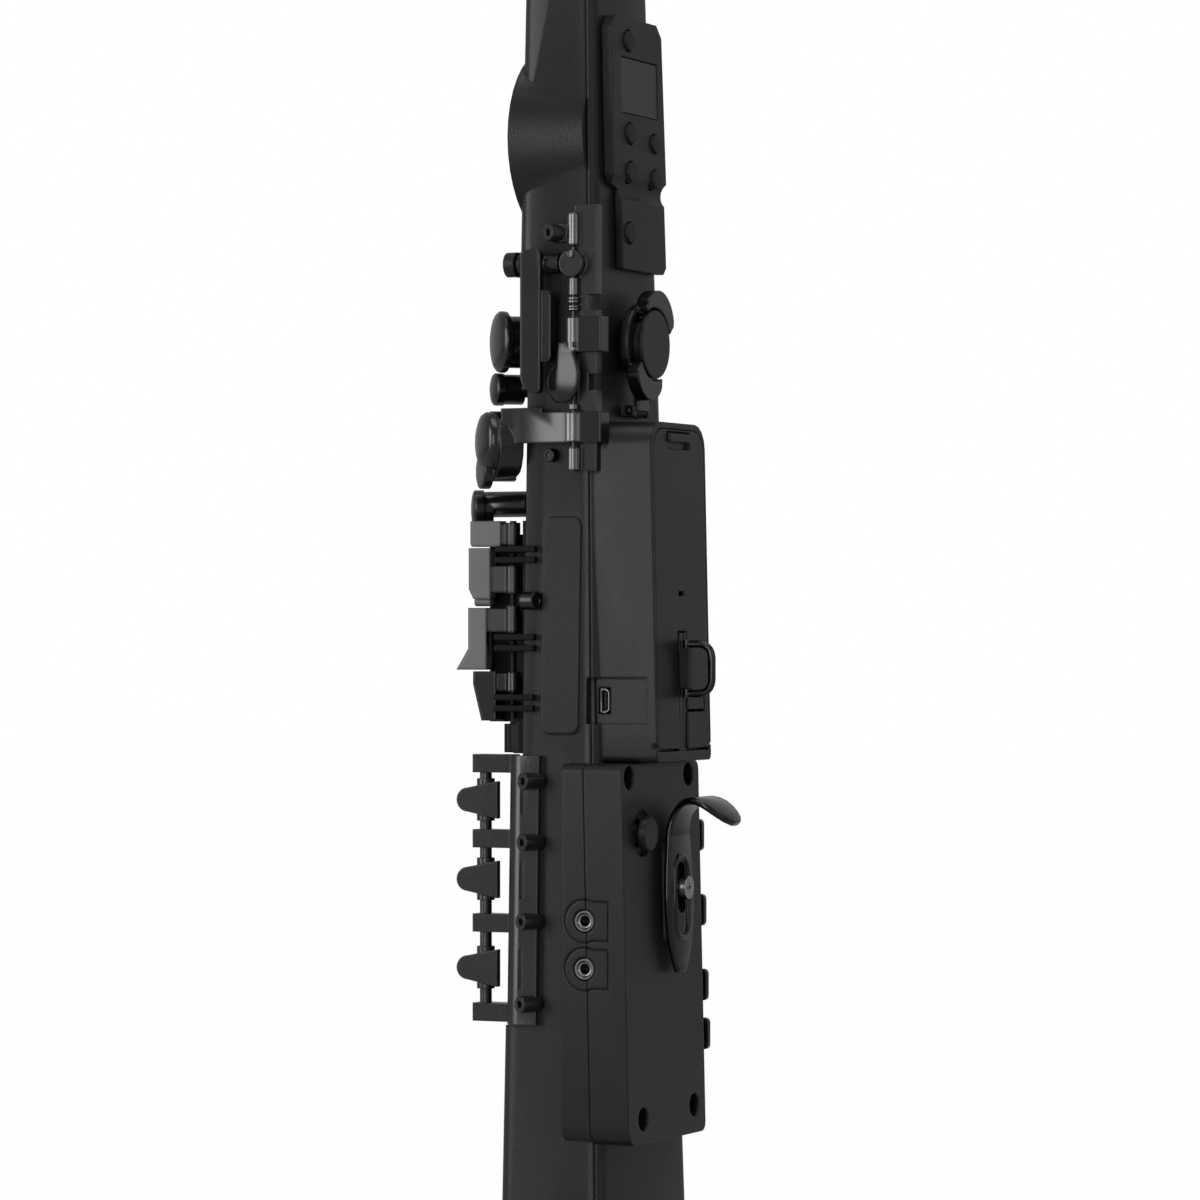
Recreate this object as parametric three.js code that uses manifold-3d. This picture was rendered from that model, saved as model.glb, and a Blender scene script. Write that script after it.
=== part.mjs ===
// A straight electronic wind instrument with saxophone-style keys, as an assembly of separate pieces.
// Millimetres, +Z up along the body. The keys face -Y, the player stands at +Y, +X is the player's left.
// Heights are measured from the foot of the bell, and the finished group is moved to put its origin
// at the pivot of the strap ring.
import * as THREE from 'three';
import { mergeVertices } from 'three/addons/utils/BufferGeometryUtils.js';
import Module from 'manifold-3d';

const wasm = await Module();
wasm.setup();

// Driving dimensions of the tapered body: half width, back and front depth at its two ends.
const body = {
  bottomZ: 60, topZ: 540,
  bottomHalf: 36.35, topHalf: 21.9,
  bottomBack: 21.25, topBack: 10.55,
  bottomFront: 17.5, topFront: 13.9,
  cornerRadius: 5, wall: 2.2, lidDepth: 2.6,
};
// Clearances shared by every fit.
const gap = 0.3;
const overrun = 4;
const reach = 200;
// Counts of facets.
const roundSides = 20;
const largeSides = 36;
const smallSides = 10;
const cornerSteps = 4;

// Recess in the front that carries the finger keys.
const bed = { bottomZ: 155, topZ: 405, depthY: 10 };

// Speaker drum that bulges from both sides of the front shell.
const drum = { z: 447, frontY: 15.3, frontRadius: 31.5, taper: 4.5, wall: 2 };
drum.backRadius = drum.frontRadius - drum.taper;
const grille = { rim: 4.5, thick: 1, holeRadius: 1.5, ringPitch: 6.5, rings: 2 };
grille.radius = drum.frontRadius - grille.rim;
const speaker = { rimIn: 6.5, openingIn: 9, rimThick: 2, coneDepth: 8, magnetRadius: 13, magnetDepth: 6 };
speaker.rimRadius = drum.frontRadius - speaker.rimIn;
speaker.opening = drum.frontRadius - speaker.openingIn;

// Battery housing on the back of the rear shell; depths are taken from the back plane of the body.
const cell = { radius: 7.1, length: 48.6, nubRadius: 2.6, nubLength: 1, pitchX: 15.2 };
const hump = {
  bottomZ: 241.7, footWall: 6.7, topWall: 3.9, baseHalf: 27.2, topHalf: 21.9, depth: 17.3, topCorner: 8, bottomCorner: 2, root: 1.2,
};
const bay = { wall: 0.5, floor: 0.4 };
bay.half = cell.pitchX / 2 + cell.radius + gap * 2 + bay.wall;
bay.bottomZ = hump.bottomZ + hump.footWall;
bay.topZ = bay.bottomZ + (cell.length + cell.nubLength + gap * 3) * 2;
hump.topZ = bay.topZ + hump.topWall;
const cover = {
  half: 20.4, bottomZ: 246, topInset: 2.3, thick: 2, corner: 7.6, footCorner: 0.6, pinRadius: 0.8, pinLength: 1,
  footGap: 1, tabHalf: 8.2, tabDown: 3.9, tabHigh: 3.4, tabRise: 0.9, slitHalf: 2.4, slitHigh: 1.6, slitZ: 297,
  recessSide: 1.2, recessFoot: 2.6, recessDeep: 1.2, hookSlitZ: 257.8, hookSlitWide: 1, hookSlitX: 17.4, hookSlitUp: 4.6,
};
cover.topZ = hump.topZ - cover.topInset;
cover.tabBottomZ = cover.topZ - cover.tabDown;
cover.tabTopZ = cover.tabBottomZ + cover.tabHigh;
const strap = {
  pivotY: 35.2, pivotZ: 272.2, railHalf: 2.6, railBottomZ: 243, railTopZ: 284, railInY: 30.6, railOutY: 33.8,
  knuckleHigh: 13.4, knuckleOutY: 37.6, wireRadius: 1.3, ringHigh: 16.4, ringOutY: 45.6, slotHalf: 3.6, slotTopZ: 284.7,
};
const usb = {
  bottomZ: 254.3, topZ: 269.3, frontY: 12.8, backY: 31, innerX: 25.6, leanX: 3.2, portHigh: 8, portThick: 3.3,
  portY: 17.2, portDepth: 6, portWall: 0.5,
};

// Control panel on the back, with its window and push buttons; depths are taken from the back plane.
const panel = {
  bottomZ: 404.3, valleyZ: 430.6, valleyRadius: 4.8, valleyDeep: 2.3, topZ: 487.7, lowLeftX: 9.4, highLeftX: 17.3, thick: 3.7, lowThick: 2.7,
  corner: 4, sideInset: 0.6, footCorner: 2.4, highFoot: 4.4,
};
const display = { leftX: 10, rightX: 18.5, bottomZ: 456, topZ: 474.2, thick: 1.2, sunk: 0.2 };
const button = { bigRadius: 3.55, smallRadius: 3.25, proud: 1, sunk: 1.6, travel: 0.8 };
const buttonPlaces = [
  { x: 4, z: 480 }, { x: 4, z: 449.3 }, { x: 4, z: 436.5 }, { x: 4, z: 416.4, lowPad: true },
  { x: -15.5, z: 447.6, small: true }, { x: -15.5, z: 435.6, small: true },
];

// Thumb rest and the octave key round it.
const rest = { z: 379.5, faceY: 24.2, radius: 11.3, thick: 1.5, postRadius: 9 };
const octave = {
  ringInY: 17.6, ringOutY: 20, faceY: 24, ringIn: 9.8, ringOut: 13.7, padIn: 12.4,
  upperThick: 6.4, lowerThick: 6.8, tipThick: 2.2, endThick: 4, endShare: 9,
  armHalf: 4, hingeY: 17.2, hingeZ: 357.4, pinRadius: 1.1, hubRadius: 1.9, pinReach: 3.4, earThick: 2.6,
};

// Lower housing: its left flank stands proud of the body, and its back is set behind the back plane.
const housing = {
  bottomZ: 117.3, topZ: 241.4, leftX: 37, rightX: 25, frontY: 7, depth: 11.2, corner: 3, wall: 2.2,
  screwRadius: 4, screwDeep: 9, bossWall: 1.5,
};
const housingScrews = [
  { x: 31.2, z: 236.9 }, { x: -16.3, z: 236.9 }, { x: 25.3, z: 125.5 }, { x: -15.8, z: 126.6 },
];
const jack = {
  y: 15.1, phonesZ: 190.3, auxZ: 174.7, radius: 3.6, bore: 1.8, length: 12, boreDeep: 11, grooveOut: 7.3,
  grooveWide: 0.5, grooveDeep: 0.6, labelBackY: 23.8, labelHalf: 6.6,
};
const wheel = {
  x: 21.5, z: 218.5, faceY: 32.1, radius: 5.75, thick: 2.4, stemRadius: 2.6, pivotY: 24, ballRadius: 4.3,
  recessRadius: 7.7, recessDeep: 1.6, bossWall: 1.7,
};
const hook = {
  half: 10.4, tongueHalf: 10.6, bottomZ: 172, topZ: 217, corner: 9.4, thick: 2.2, standOff: 13.1, padHalf: 6.5, padBottomZ: 183, padTopZ: 214, padDepth: 12.8,
  slotHalf: 3.2, slotZ: 200, slotHigh: 8.5, screwHead: 3.8, headHigh: 2.5, shank: 2, shankDeep: 12, washerGap: 0.4,
};
// Centre line of the bent-over end of the hook, as distances beyond the top of its plate.
const hookArch = [
  { out: 0.4, up: 2 }, { out: 2.4, up: 7.4 }, { out: 5.6, up: 10.8 }, { out: 9.4, up: 12 },
  { out: 14.2, up: 10.8 }, { out: 18.8, up: 7.4 }, { out: 22, up: 4.2 },
];
// Width of the arch along its length, from the plate to the tip.
const hookShares = [1, 0.86, 0.76, 0.68, 0.64, 0.64, 0.7, 0.8, 0.92, 1, 1, 0.98, 0.9, 0.72, 0.36];

// Upper left key group: keys on an upright rod beside the body. Sizes named out and in are taken
// sideways from the rod, which itself stands out from the body's flank.
const palm = {
  rodOut: 2.46, rodY: 8.3, rodRadius: 0.8, tubeRadius: 1.9, bottomZ: 337, topZ: 410.6, railIn: 4.8, railOut: 0.5,
  railFrontY: 8.5, railBackY: 16.3, railTopZ: 424, capTopZ: 421.4, lugOut: 2.5, lugIn: 2.1, lugStep: 1, lugFrontY: 4, lugBackY: 10.8,
  lowLugTopZ: 344.8, highLugBottomZ: 400.4, notchHigh: 5.2, notchDeep: 3, notchZ: [366, 392],
};
const band = { out: 1.5, thick: 1.6, backY: 18.7, wrapIn: 5, wideRadius: 3.1, midRadius: 2.5 };
const bumper = { radius: 2.8, length: 5.2, socket: 1.4, socketDeep: 2.4, outX: 0.875, outY: -0.485 };
const palmBumper = { in: 0.5, y: 3.4, z: 414.9, padFrontY: 0.4, padBackY: 7, padIn: 3.6, padOut: 0.6, padHigh: 5.8 };
const spoon = {
  bandBottomZ: 375.8, bandTopZ: 387.3, out: 2.2, crown: 2.4, thin: 0.8, frontY: -0.4, backY: 11.9, ridgeY: 4.6,
  bottomZ: 359.2, topZ: 378.8,
};
// Width of the spoon's leaf up its height, behind its ridge and in front of it.
const spoonShares = [
  { up: 0, wide: 0.3, fore: 0.3 }, { up: 0.06, wide: 0.58, fore: 0.58 }, { up: 0.18, wide: 0.82, fore: 0.84 },
  { up: 0.34, wide: 0.98, fore: 1 }, { up: 0.5, wide: 1, fore: 0.9 }, { up: 0.66, wide: 0.9, fore: 0.36 },
  { up: 0.84, wide: 0.72, fore: 0.34 }, { up: 1, wide: 0.42, fore: 0.3 },
];
const paddle = {
  hingeIn: 0.2, hingeZ: 405, barrelRadius: 3.3, barrelBackY: 3.6, barrelFrontY: -11.4, pinRadius: 1.2, pinReach: 2.6,
  out: 2.4, thick: 3, frontY: -8.6, backY: -1.4, bottomZ: 362.4, topZ: 409.4, corner: 5.5, smallCorner: 1.6,
  prongBackY: 2, prongBottomZ: 372.5, prongTopZ: 396, prongOut: 1.4, prongThick: 3, prongCorner: 1.9,
  postFrontY: -15.6, postBackY: -11.8, postHigh: 8, postInX: 20, knobRadius: 4.1,
};
const dome = {
  bandBottomZ: 346.2, bandTopZ: 356.2, armOut: 1.5, armThick: 2.2, armFrontTopZ: 357.8, armStepY: -2, armFrontY: -9, armTipY: -12.4,
  in: 3, y: -23, z: 347, radius: 9.9, thick: 2, crown: 2.6, turn: 42, cupRadius: 11.6, cupDeep: 8, cupZ: 345.6,
  lowRadius: 5.8, lowThick: 3, lowIn: 4.4, lowY: -24.6, lowZ: 337.4, stemFrontY: -17, stemIn: 0.6, stemThick: 3,
};
// Left-hand stack in the front bed.
const stack = {
  rodX: 2, rodY: 17, rodRadius: 1, tubeRadius: 2.4, bottomZ: 318, topZ: 396, postHalf: 3, postThick: 4, postOutY: 19.6,
  railOutY: 12.6, postZ: [318, 355, 392],
};
const stackKeys = [
  {
    name: 'left_index_key', tubeBottomZ: 376, tubeTopZ: 388, x: 20, y: 21.6, z: 380.4, radius: 10.2, thick: 2, crown: 2,
    turn: 42, cupRadius: 8.6, cupDeep: 6,
  },
  {
    name: 'left_bis_key', tubeBottomZ: 361, tubeTopZ: 369.6, x: 16.4, y: 24.4, z: 364.9, radius: 5.4, thick: 2.6, crown: 1.2,
    turn: 42, cupRadius: 5, cupDeep: 7,
  },
  {
    name: 'left_ring_key', tubeBottomZ: 322.6, tubeTopZ: 331, x: 14, y: 32.6, z: 325.4, radius: 6.2, thick: 3, crown: 1.2,
    turn: 30, cupRadius: 5.6, cupDeep: 3.4, stemRadius: 4.3,
  },
];
const stackArm = { thick: 2.4, high: 6, stemRadius: 2.4 };
// Little-finger table of the left hand.
const table = {
  rodIn: 7.21, rodY: 17, rodRadius: 1.1, tubeRadius: 2.4, bottomZ: 247, topZ: 321, postIn: 2.9, postOutY: 20,
  postZ: [258.2, 278, 307], railOutY: 12.4, barHigh: 2, barGap: 1.6, barOut: 2, barBackY: 5.6, armHalf: 1.3,
  touchIn: 2.6, touchOut: 2.2, capBottomZ: 244.6, capTopZ: 254, capRadius: 3,
  wallIn: 8.4, wallThick: 3.6, wallOutY: 28, wallBottomZ: 254.6, wallTopZ: 316.6,
  blockBottomZ: 244.3, blockTopZ: 256, blockOutY: 16, rollerZ: 294.2, rollerRadius: 1.4,
};
table.rodX = halfAt(table.bottomZ) - table.rodIn;
table.postInX = table.rodX - table.postIn;
const tableKeys = [
  { name: 'table_g_sharp_key', tubeBottomZ: 312.8, tubeTopZ: 320.4, bottomZ: 312.5, topZ: 321, frontY: 31.8, backY: 20.8, lip: 0, cut: 1 },
  {
    name: 'table_c_sharp_key', tubeBottomZ: 297, tubeTopZ: 306.4, bottomZ: 295.2, topZ: 312.1, frontY: 32.4, backY: 24.6, lip: 0,
    cut: 3.4, roller: true,
  },
  { name: 'table_b_key', tubeBottomZ: 284, tubeTopZ: 293, bottomZ: 271.8, topZ: 292.3, frontY: 32.6, backY: 26, lip: 4.2, cut: 7 },
  { name: 'table_b_flat_key', tubeBottomZ: 264.6, tubeTopZ: 271, bottomZ: 255, topZ: 271.3, frontY: 30.8, backY: 22.5, lip: -3, cut: 12 },
];
const flank = { frontY: -3.3, backY: 10.4, bottomZ: 251, topZ: 322, proud: 1.2, corner: 3 };
// Right-hand bracket with its cap screws, rod and levers.
const fork = {
  bottomZ: 155.6, topZ: 243.8, backY: 3, bedY: 9.7, bend: 5.8, thick: 2, postThick: 6, postZ: [156, 185.4, 213.2, 238],
  rodIn: 6.55, rodY: 25.4, rodRadius: 2, tubeRadius: 3, postHalf: 3.3, slotHalf: 0.6, slotMidY: 8.9,
  screwY: 4.4, screwZ: [162.7, 189.6, 215.5, 235.5], slots: [[167.3, 180], [196.8, 209.2], [224.6, 232.8]],
};
fork.rodX = halfAt(fork.bottomZ) - fork.rodIn;
const lever = { outward: 2.6, frontY: 34.4, backY: 19.4, high: 12.4, noseHigh: 8, thick: 2.6, tubeHigh: 14 };
lever.x = fork.rodX + lever.outward;
const levers = [{ name: 'right_lever_f', z: 229 }, { name: 'right_lever_e', z: 202.8 }, { name: 'right_lever_d', z: 173.6 }];
// Side keys on the player's right.
const side = {
  rodOut: 3.55, topKeyZ: 215.8, keyPitch: 25.4, lastPitch: 16.6, rodY: 8, rodRadius: 0.9, tubeRadius: 2, bottomZ: 139.6, topZ: 228,
  postThick: 2.4, postZ: [139.6, 155.8, 177, 201.6, 225.2],
  railFrontY: 3, railBackY: 13, railThick: 1, tabHigh: 10.7, tabThick: 2, tabBackY: 26.2,
};
const sideKeys = [
  { name: 'side_key_1', in: 2.4 }, { name: 'side_key_2', in: 0.5 }, { name: 'side_key_3', in: -1.5 }, { name: 'side_key_4', in: -2.8 },
];
side.rodX = -(halfAt(side.bottomZ) + side.rodOut);
sideKeys.forEach((key, i) => {
  key.x = side.rodX + key.in;
  key.z = side.topKeyZ - (i < 3 ? side.keyPitch * i : side.keyPitch * 2 + side.lastPitch);
});
// Touches for the right little finger, on lugs at the foot of the front.
const low = { x: -12, half: 10, high: 11, outY: 26.4, thick: 3, pinY: 20.6, pinRadius: 1.1, pinReach: 2.4, lugThick: 3, lugHigh: 4.4, hubRadius: 2 };
const lowKeys = [{ name: 'low_e_flat_key', z: 141 }, { name: 'low_c_key', z: 126 }];

// Circuit board on bosses behind the key bed.
const board = { half: 16, bottomZ: 170, topZ: 390, inY: 2.4, thick: 1.6, bossRadius: 2.4, bossX: 11, bossZ: [185, 280, 375] };
// Bell under the body, and the neck, mouthpiece, ligature and reed over it.
const bell = { rimRadius: 44, lipRadius: 46, lipHigh: 3, centreY: 1.9, wall: 2.5, collarHigh: 5, cornerRadius: 6, levels: 5 };
const neck = {
  collarHigh: 11, collarInset: 2.6, radius: 8, bore: 4, riseZ: 566, bendZ: 602, leanY: 11, topZ: 643, plugRadius: 7.2,
  centreY: -1.5, steps: 9,
};
const mouth = {
  length: 84, radius: 12.5, shankRadius: 11, bore: 7.5, boreDeep: 29, throat: 4, tipHigh: 2, tableStart: 30, beakStart: 44, faceX: 5,
  windowHalf: 4.4, windowStart: 44,
};
const reed = { half: 6.4, butt: 3, tip: 0.7, start: 30.6, end: 83 };
const ligature = { start: 33, end: 55, inner: 12.9, wall: 1, lugHalf: 3, lugHigh: 3.4, screwRadius: 1.1, screwHalf: 6.5 };

// Turns a closed mesh into a solid, and a solid back into a mesh.
function solid(geometry) {
  geometry.deleteAttribute('normal');
  geometry.deleteAttribute('uv');
  const merged = mergeVertices(geometry, 1e-5);
  const corners = merged.getIndex().array;
  const triangles = [];
  for (let i = 0; i < corners.length; i += 3) {
    const [a, b, c] = [corners[i], corners[i + 1], corners[i + 2]];
    if (a !== b && b !== c && c !== a) triangles.push(a, b, c);
  }
  const vertProperties = Float32Array.from(merged.getAttribute('position').array);
  const build = (triVerts) => new wasm.Manifold(new wasm.Mesh({ numProp: 3, vertProperties, triVerts }));
  const shape = build(Uint32Array.from(triangles));
  return shape.volume() > 0 ? shape : build(Uint32Array.from(triangles.reverse()));
}

function toGeometry(shape) {
  const mesh = shape.getMesh();
  const geometry = new THREE.BufferGeometry();
  const positions = [];
  for (let i = 0; i < mesh.vertProperties.length; i += mesh.numProp) {
    positions.push(mesh.vertProperties[i], mesh.vertProperties[i + 1], mesh.vertProperties[i + 2]);
  }
  geometry.setAttribute('position', new THREE.Float32BufferAttribute(positions, 3));
  geometry.setIndex(Array.from(mesh.triVerts));
  geometry.computeVertexNormals();
  return geometry;
}

function join(shapes) {
  return shapes.reduce((sum, shape) => sum.add(shape));
}

function cut(shape, tools) {
  return tools.reduce((left, tool) => left.subtract(tool), shape);
}

function box(x0, x1, y0, y1, z0, z1) {
  const geometry = new THREE.BoxGeometry(x1 - x0, y1 - y0, z1 - z0);
  geometry.translate((x0 + x1) / 2, (y0 + y1) / 2, (z0 + z1) / 2);
  return solid(geometry);
}

// A round bar along one axis; a and b are its place on the other two axes, in x, y, z order.
function bar(axis, radius, start, end, a, b, sides = roundSides, endRadius = radius) {
  const geometry = new THREE.CylinderGeometry(endRadius, radius, end - start, sides);
  const middle = (start + end) / 2;
  if (axis === 'x') geometry.rotateZ(-Math.PI / 2).translate(middle, a, b);
  if (axis === 'y') geometry.translate(a, middle, b);
  if (axis === 'z') geometry.rotateX(Math.PI / 2).translate(a, b, middle);
  return solid(geometry);
}

// A skin over rings of points that have equal counts, closed by a fan at each end.
function loft(rings) {
  const count = rings[0].length;
  const points = rings.flat();
  const triangles = [];
  for (let level = 0; level + 1 < rings.length; level += 1) {
    for (let i = 0; i < count; i += 1) {
      const next = (i + 1) % count;
      const low = level * count;
      const high = low + count;
      triangles.push(low + i, low + next, high + next, low + i, high + next, high + i);
    }
  }
  for (const [level, flip] of [[0, true], [rings.length - 1, false]]) {
    const centre = new THREE.Vector3();
    rings[level].forEach((point) => centre.addScaledVector(point, 1 / count));
    points.push(centre);
    for (let i = 0; i < count; i += 1) {
      const pair = [level * count + i, level * count + ((i + 1) % count)];
      if (flip) pair.reverse();
      triangles.push(points.length - 1, ...pair);
    }
  }
  const geometry = new THREE.BufferGeometry().setFromPoints(points);
  geometry.setIndex(triangles);
  return solid(geometry);
}

// Outline of a rectangle with its own radius at each corner, counter-clockwise from the lower left.
function roundedOutline(left, right, bottom, top, radii, steps = cornerSteps) {
  const [lowLeft, lowRight, highRight, highLeft] = radii;
  const corners = [
    [left + lowLeft, bottom + lowLeft, lowLeft, Math.PI],
    [right - lowRight, bottom + lowRight, lowRight, Math.PI * 1.5],
    [right - highRight, top - highRight, highRight, 0],
    [left + highLeft, top - highLeft, highLeft, Math.PI / 2],
  ];
  return corners.flatMap(([x, y, radius, start]) => Array.from({ length: steps + 1 }, (_, i) => {
    const angle = start + (Math.PI / 2) * (i / steps);
    return [x + radius * Math.cos(angle), y + radius * Math.sin(angle)];
  }));
}

// An outline extruded square to its plane: 'x' takes points as (y, z), 'y' as (x, z), 'z' as (x, y).
function prism(axis, outline, start, end) {
  const shape = new THREE.Shape(outline.map(([a, b]) => new THREE.Vector2(a, b)));
  const geometry = new THREE.ExtrudeGeometry(shape, { depth: end - start, bevelEnabled: false });
  geometry.translate(0, 0, axis === 'y' ? -end : start);
  const turn = new THREE.Matrix4();
  if (axis === 'x') turn.makeBasis(new THREE.Vector3(0, 1, 0), new THREE.Vector3(0, 0, 1), new THREE.Vector3(1, 0, 0));
  if (axis === 'y') turn.makeBasis(new THREE.Vector3(1, 0, 0), new THREE.Vector3(0, 0, 1), new THREE.Vector3(0, -1, 0));
  geometry.applyMatrix4(turn);
  return solid(geometry);
}

// Moves a shape that was made at the origin, after turning it about Z.
function placed(geometry, x, y, z, turnZ = 0) {
  geometry.rotateZ(turnZ);
  geometry.translate(x, y, z);
  return solid(geometry);
}

// The body's half width, back plane, front plane and seam at a height.
function between(z, bottom, top) {
  return bottom + (top - bottom) * ((z - body.bottomZ) / (body.topZ - body.bottomZ));
}

function halfAt(z) {
  return between(z, body.bottomHalf, body.topHalf);
}

const backAt = (z) => between(z, body.bottomBack, body.topBack);
const frontAt = (z) => -between(z, body.bottomFront, body.topFront);
const seamAt = (z) => backAt(z) - body.lidDepth;
const backSlope = Math.atan((body.bottomBack - body.topBack) / (body.topZ - body.bottomZ));

function bodyRing(z, inset) {
  const radius = Math.max(body.cornerRadius - inset, gap);
  const outline = roundedOutline(
    -halfAt(z) + inset, halfAt(z) - inset, frontAt(z) + inset, backAt(z) - inset, [radius, radius, radius, radius],
  );
  return outline.map(([x, y]) => new THREE.Vector3(x, y, z));
}

// A ring in X and Z that lies at a depth from the back plane.
function backRing(outline, depth) {
  return outline.map(([x, z]) => new THREE.Vector3(x, backAt(z) + depth, z));
}

function backBlock(outline, start, end, endOutline = outline) {
  return loft([backRing(outline, start), backRing(endOutline, end)]);
}

function square(left, right, bottom, top) {
  return [[left, bottom], [right, bottom], [right, top], [left, top]];
}

// Pieces of the two body shells.
function bodyOuter() {
  return loft([bodyRing(body.bottomZ, 0), bodyRing(body.topZ, 0)]);
}

function bodyCavity() {
  const inner = loft([bodyRing(body.bottomZ - overrun, body.wall), bodyRing(body.topZ - body.wall, body.wall)]);
  const bedWall = box(
    -reach, reach, -reach, -bed.depthY + body.wall, bed.bottomZ - body.wall, bed.topZ + body.wall,
  );
  const usbWall = box(
    usb.innerX - usb.portDepth - body.wall, reach, usb.frontY - body.wall, reach, usb.bottomZ - body.wall, usb.topZ + body.wall,
  );
  return cut(inner, [bedWall, usbWall]);
}

// Everything behind a sheet parallel to the back plane, which parts the two shells.
function behindSeam(offset) {
  return backBlock(square(-reach, reach, -overrun, body.topZ + overrun), -body.lidDepth + offset, reach);
}

function drumCone(inset, start, end) {
  const slope = (drum.frontRadius - drum.backRadius) / (drum.frontY + seamAt(drum.z));
  const radiusAt = (y) => drum.frontRadius - inset - slope * (y + drum.frontY);
  return bar('y', radiusAt(start), start, end, 0, drum.z, largeSides, radiusAt(end));
}

function usbPocket() {
  const outline = [
    [usb.innerX + usb.leanX * ((usb.portY - usb.frontY) / (usb.backY - usb.portY)), usb.frontY],
    [usb.innerX - usb.leanX, usb.backY], [reach, usb.backY], [reach, usb.frontY],
  ];
  return prism('z', outline, usb.bottomZ, usb.topZ);
}

function jackCuts() {
  const outline = (z, inset, deep) => {
    const label = box(
      housing.leftX - deep, housing.leftX + overrun, jack.y, jack.labelBackY - inset, z - jack.labelHalf + inset,
      z + jack.labelHalf - inset,
    );
    return bar('x', jack.grooveOut - inset, housing.leftX - deep, housing.leftX + overrun, jack.y, z).add(label);
  };
  return [jack.phonesZ, jack.auxZ].flatMap((z) => [
    bar('x', jack.radius + gap, housing.leftX - jack.length - gap, housing.leftX + overrun, jack.y, z),
    outline(z, 0, jack.grooveDeep).subtract(outline(z, jack.grooveWide, jack.grooveDeep + overrun)),
  ]);
}

function housingOutline(inset = 0) {
  const radius = housing.corner;
  return roundedOutline(
    -housing.rightX + inset, housing.leftX - inset, housing.bottomZ + inset, housing.topZ - inset,
    [radius, radius * 2, radius, radius],
  );
}

// Left wing of the housing on the front shell, from its own front plane back to the seam.
function housingWing() {
  const outline = roundedOutline(
    body.topHalf, housing.leftX, housing.bottomZ, housing.topZ,
    [housing.corner, housing.corner * 2, housing.corner, housing.corner],
  );
  const front = outline.map(([x, z]) => new THREE.Vector3(x, housing.frontY, z));
  const wing = loft([front, backRing(outline, 0)]);
  return wing;
}

// Raised panel on the left flank.
function flankPanel() {
  const outline = roundedOutline(
    flank.frontY, flank.backY, flank.bottomZ, flank.topZ, [flank.corner, flank.corner, flank.corner, flank.corner],
  );
  const ring = (offset) => outline.map(([y, z]) => new THREE.Vector3(halfAt(z) + offset, y, z));
  return loft([ring(-body.wall / 2), ring(flank.proud)]);
}

function lowKeyLugs() {
  return lowKeys.flatMap(({ z }) => [-1, 1].map((sign) => {
    const inner = low.x + sign * (low.half + gap);
    const outer = inner + sign * low.lugThick;
    const lug = box(
      Math.min(inner, outer), Math.max(inner, outer), -low.pinY - low.lugHigh / 2, frontAt(z) + body.wall / 2,
      z - low.lugHigh / 2, z + low.lugHigh / 2,
    );
    return lug.subtract(bar('x', low.pinRadius + gap, low.x - reach, low.x + reach, -low.pinY, z, smallSides));
  }));
}

// Post at the front of the left flank that carries the front end of the paddle key's pin.
function paddlePost() {
  const x = halfAt(palm.bottomZ) + palm.rodOut - paddle.hingeIn;
  const post = bar('y', paddle.knobRadius, paddle.postFrontY, paddle.postBackY, x, paddle.hingeZ).add(box(
    paddle.postInX, x, paddle.postFrontY + gap, paddle.postBackY,
    paddle.hingeZ - paddle.postHigh / 2 + gap, paddle.hingeZ + paddle.postHigh / 2,
  ));
  const hole = bar(
    'y', paddle.pinRadius + gap, paddle.barrelFrontY - gap - paddle.pinReach - gap, reach, x, paddle.hingeZ, smallSides,
  );
  return post.subtract(hole);
}

function frontShell() {
  const skin = join([bodyOuter(), housingWing(), drumCone(0, -drum.frontY, seamAt(drum.z)), flankPanel()]);
  const ringTop = bar('y', grille.radius + gap, -drum.frontY - overrun, -drum.frontY + grille.thick + gap, 0, drum.z, largeSides);
  const opening = bar('y', speaker.opening, -drum.frontY - overrun, 0, 0, drum.z, largeSides);
  const innerFront = -drum.frontY + grille.thick + gap + drum.wall;
  const drumRoom = drumCone(drum.wall, innerFront, seamAt(drum.z) - drum.wall);
  const bedCut = box(-reach, reach, -reach, -bed.depthY, bed.bottomZ, bed.topZ);
  const topHole = bar('z', neck.plugRadius + gap, body.topZ - body.wall - overrun, body.topZ + overrun, 0, neck.centreY);
  const hollow = cut(skin, [bodyCavity(), drumRoom, ringTop, opening, bedCut, topHole, usbPocket(), ...jackCuts()]);
  const bosses = board.bossZ.flatMap((z) => [-1, 1].map((sign) => (
    bar('y', board.bossRadius, -bed.depthY + body.wall / 2, -board.inY - gap, sign * board.bossX, z, smallSides)
  )));
  const whole = join([hollow, ...bosses, ...lowKeyLugs(), paddlePost()]);
  return whole.subtract(behindSeam(-gap / 2));
}

// The battery housing and its bay.
function humpBlock(grow = 0) {
  const outline = (half) => roundedOutline(
    -half - grow, half + grow, hump.bottomZ - grow, hump.topZ + grow,
    [hump.bottomCorner, hump.bottomCorner, hump.topCorner, hump.topCorner],
  );
  return backBlock(outline(hump.baseHalf), -hump.root - grow, hump.depth + grow, outline(hump.topHalf));
}

// The space that pieces on the body's sides keep clear of.
function grownBody() {
  return loft([bodyRing(body.bottomZ, -gap), bodyRing(body.topZ, -gap)]).add(humpBlock(gap));
}

function coverOutline(extra) {
  return roundedOutline(
    -cover.half - extra, cover.half + extra, cover.bottomZ - (extra ? cover.footGap : 0), cover.topZ + extra,
    [cover.footCorner, cover.footCorner, cover.corner, cover.corner],
  );
}

const coverHinge = {
  y: backAt(cover.bottomZ) + hump.depth - cover.thick / 2,
  z: cover.bottomZ + cover.thick / 2,
};

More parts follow.
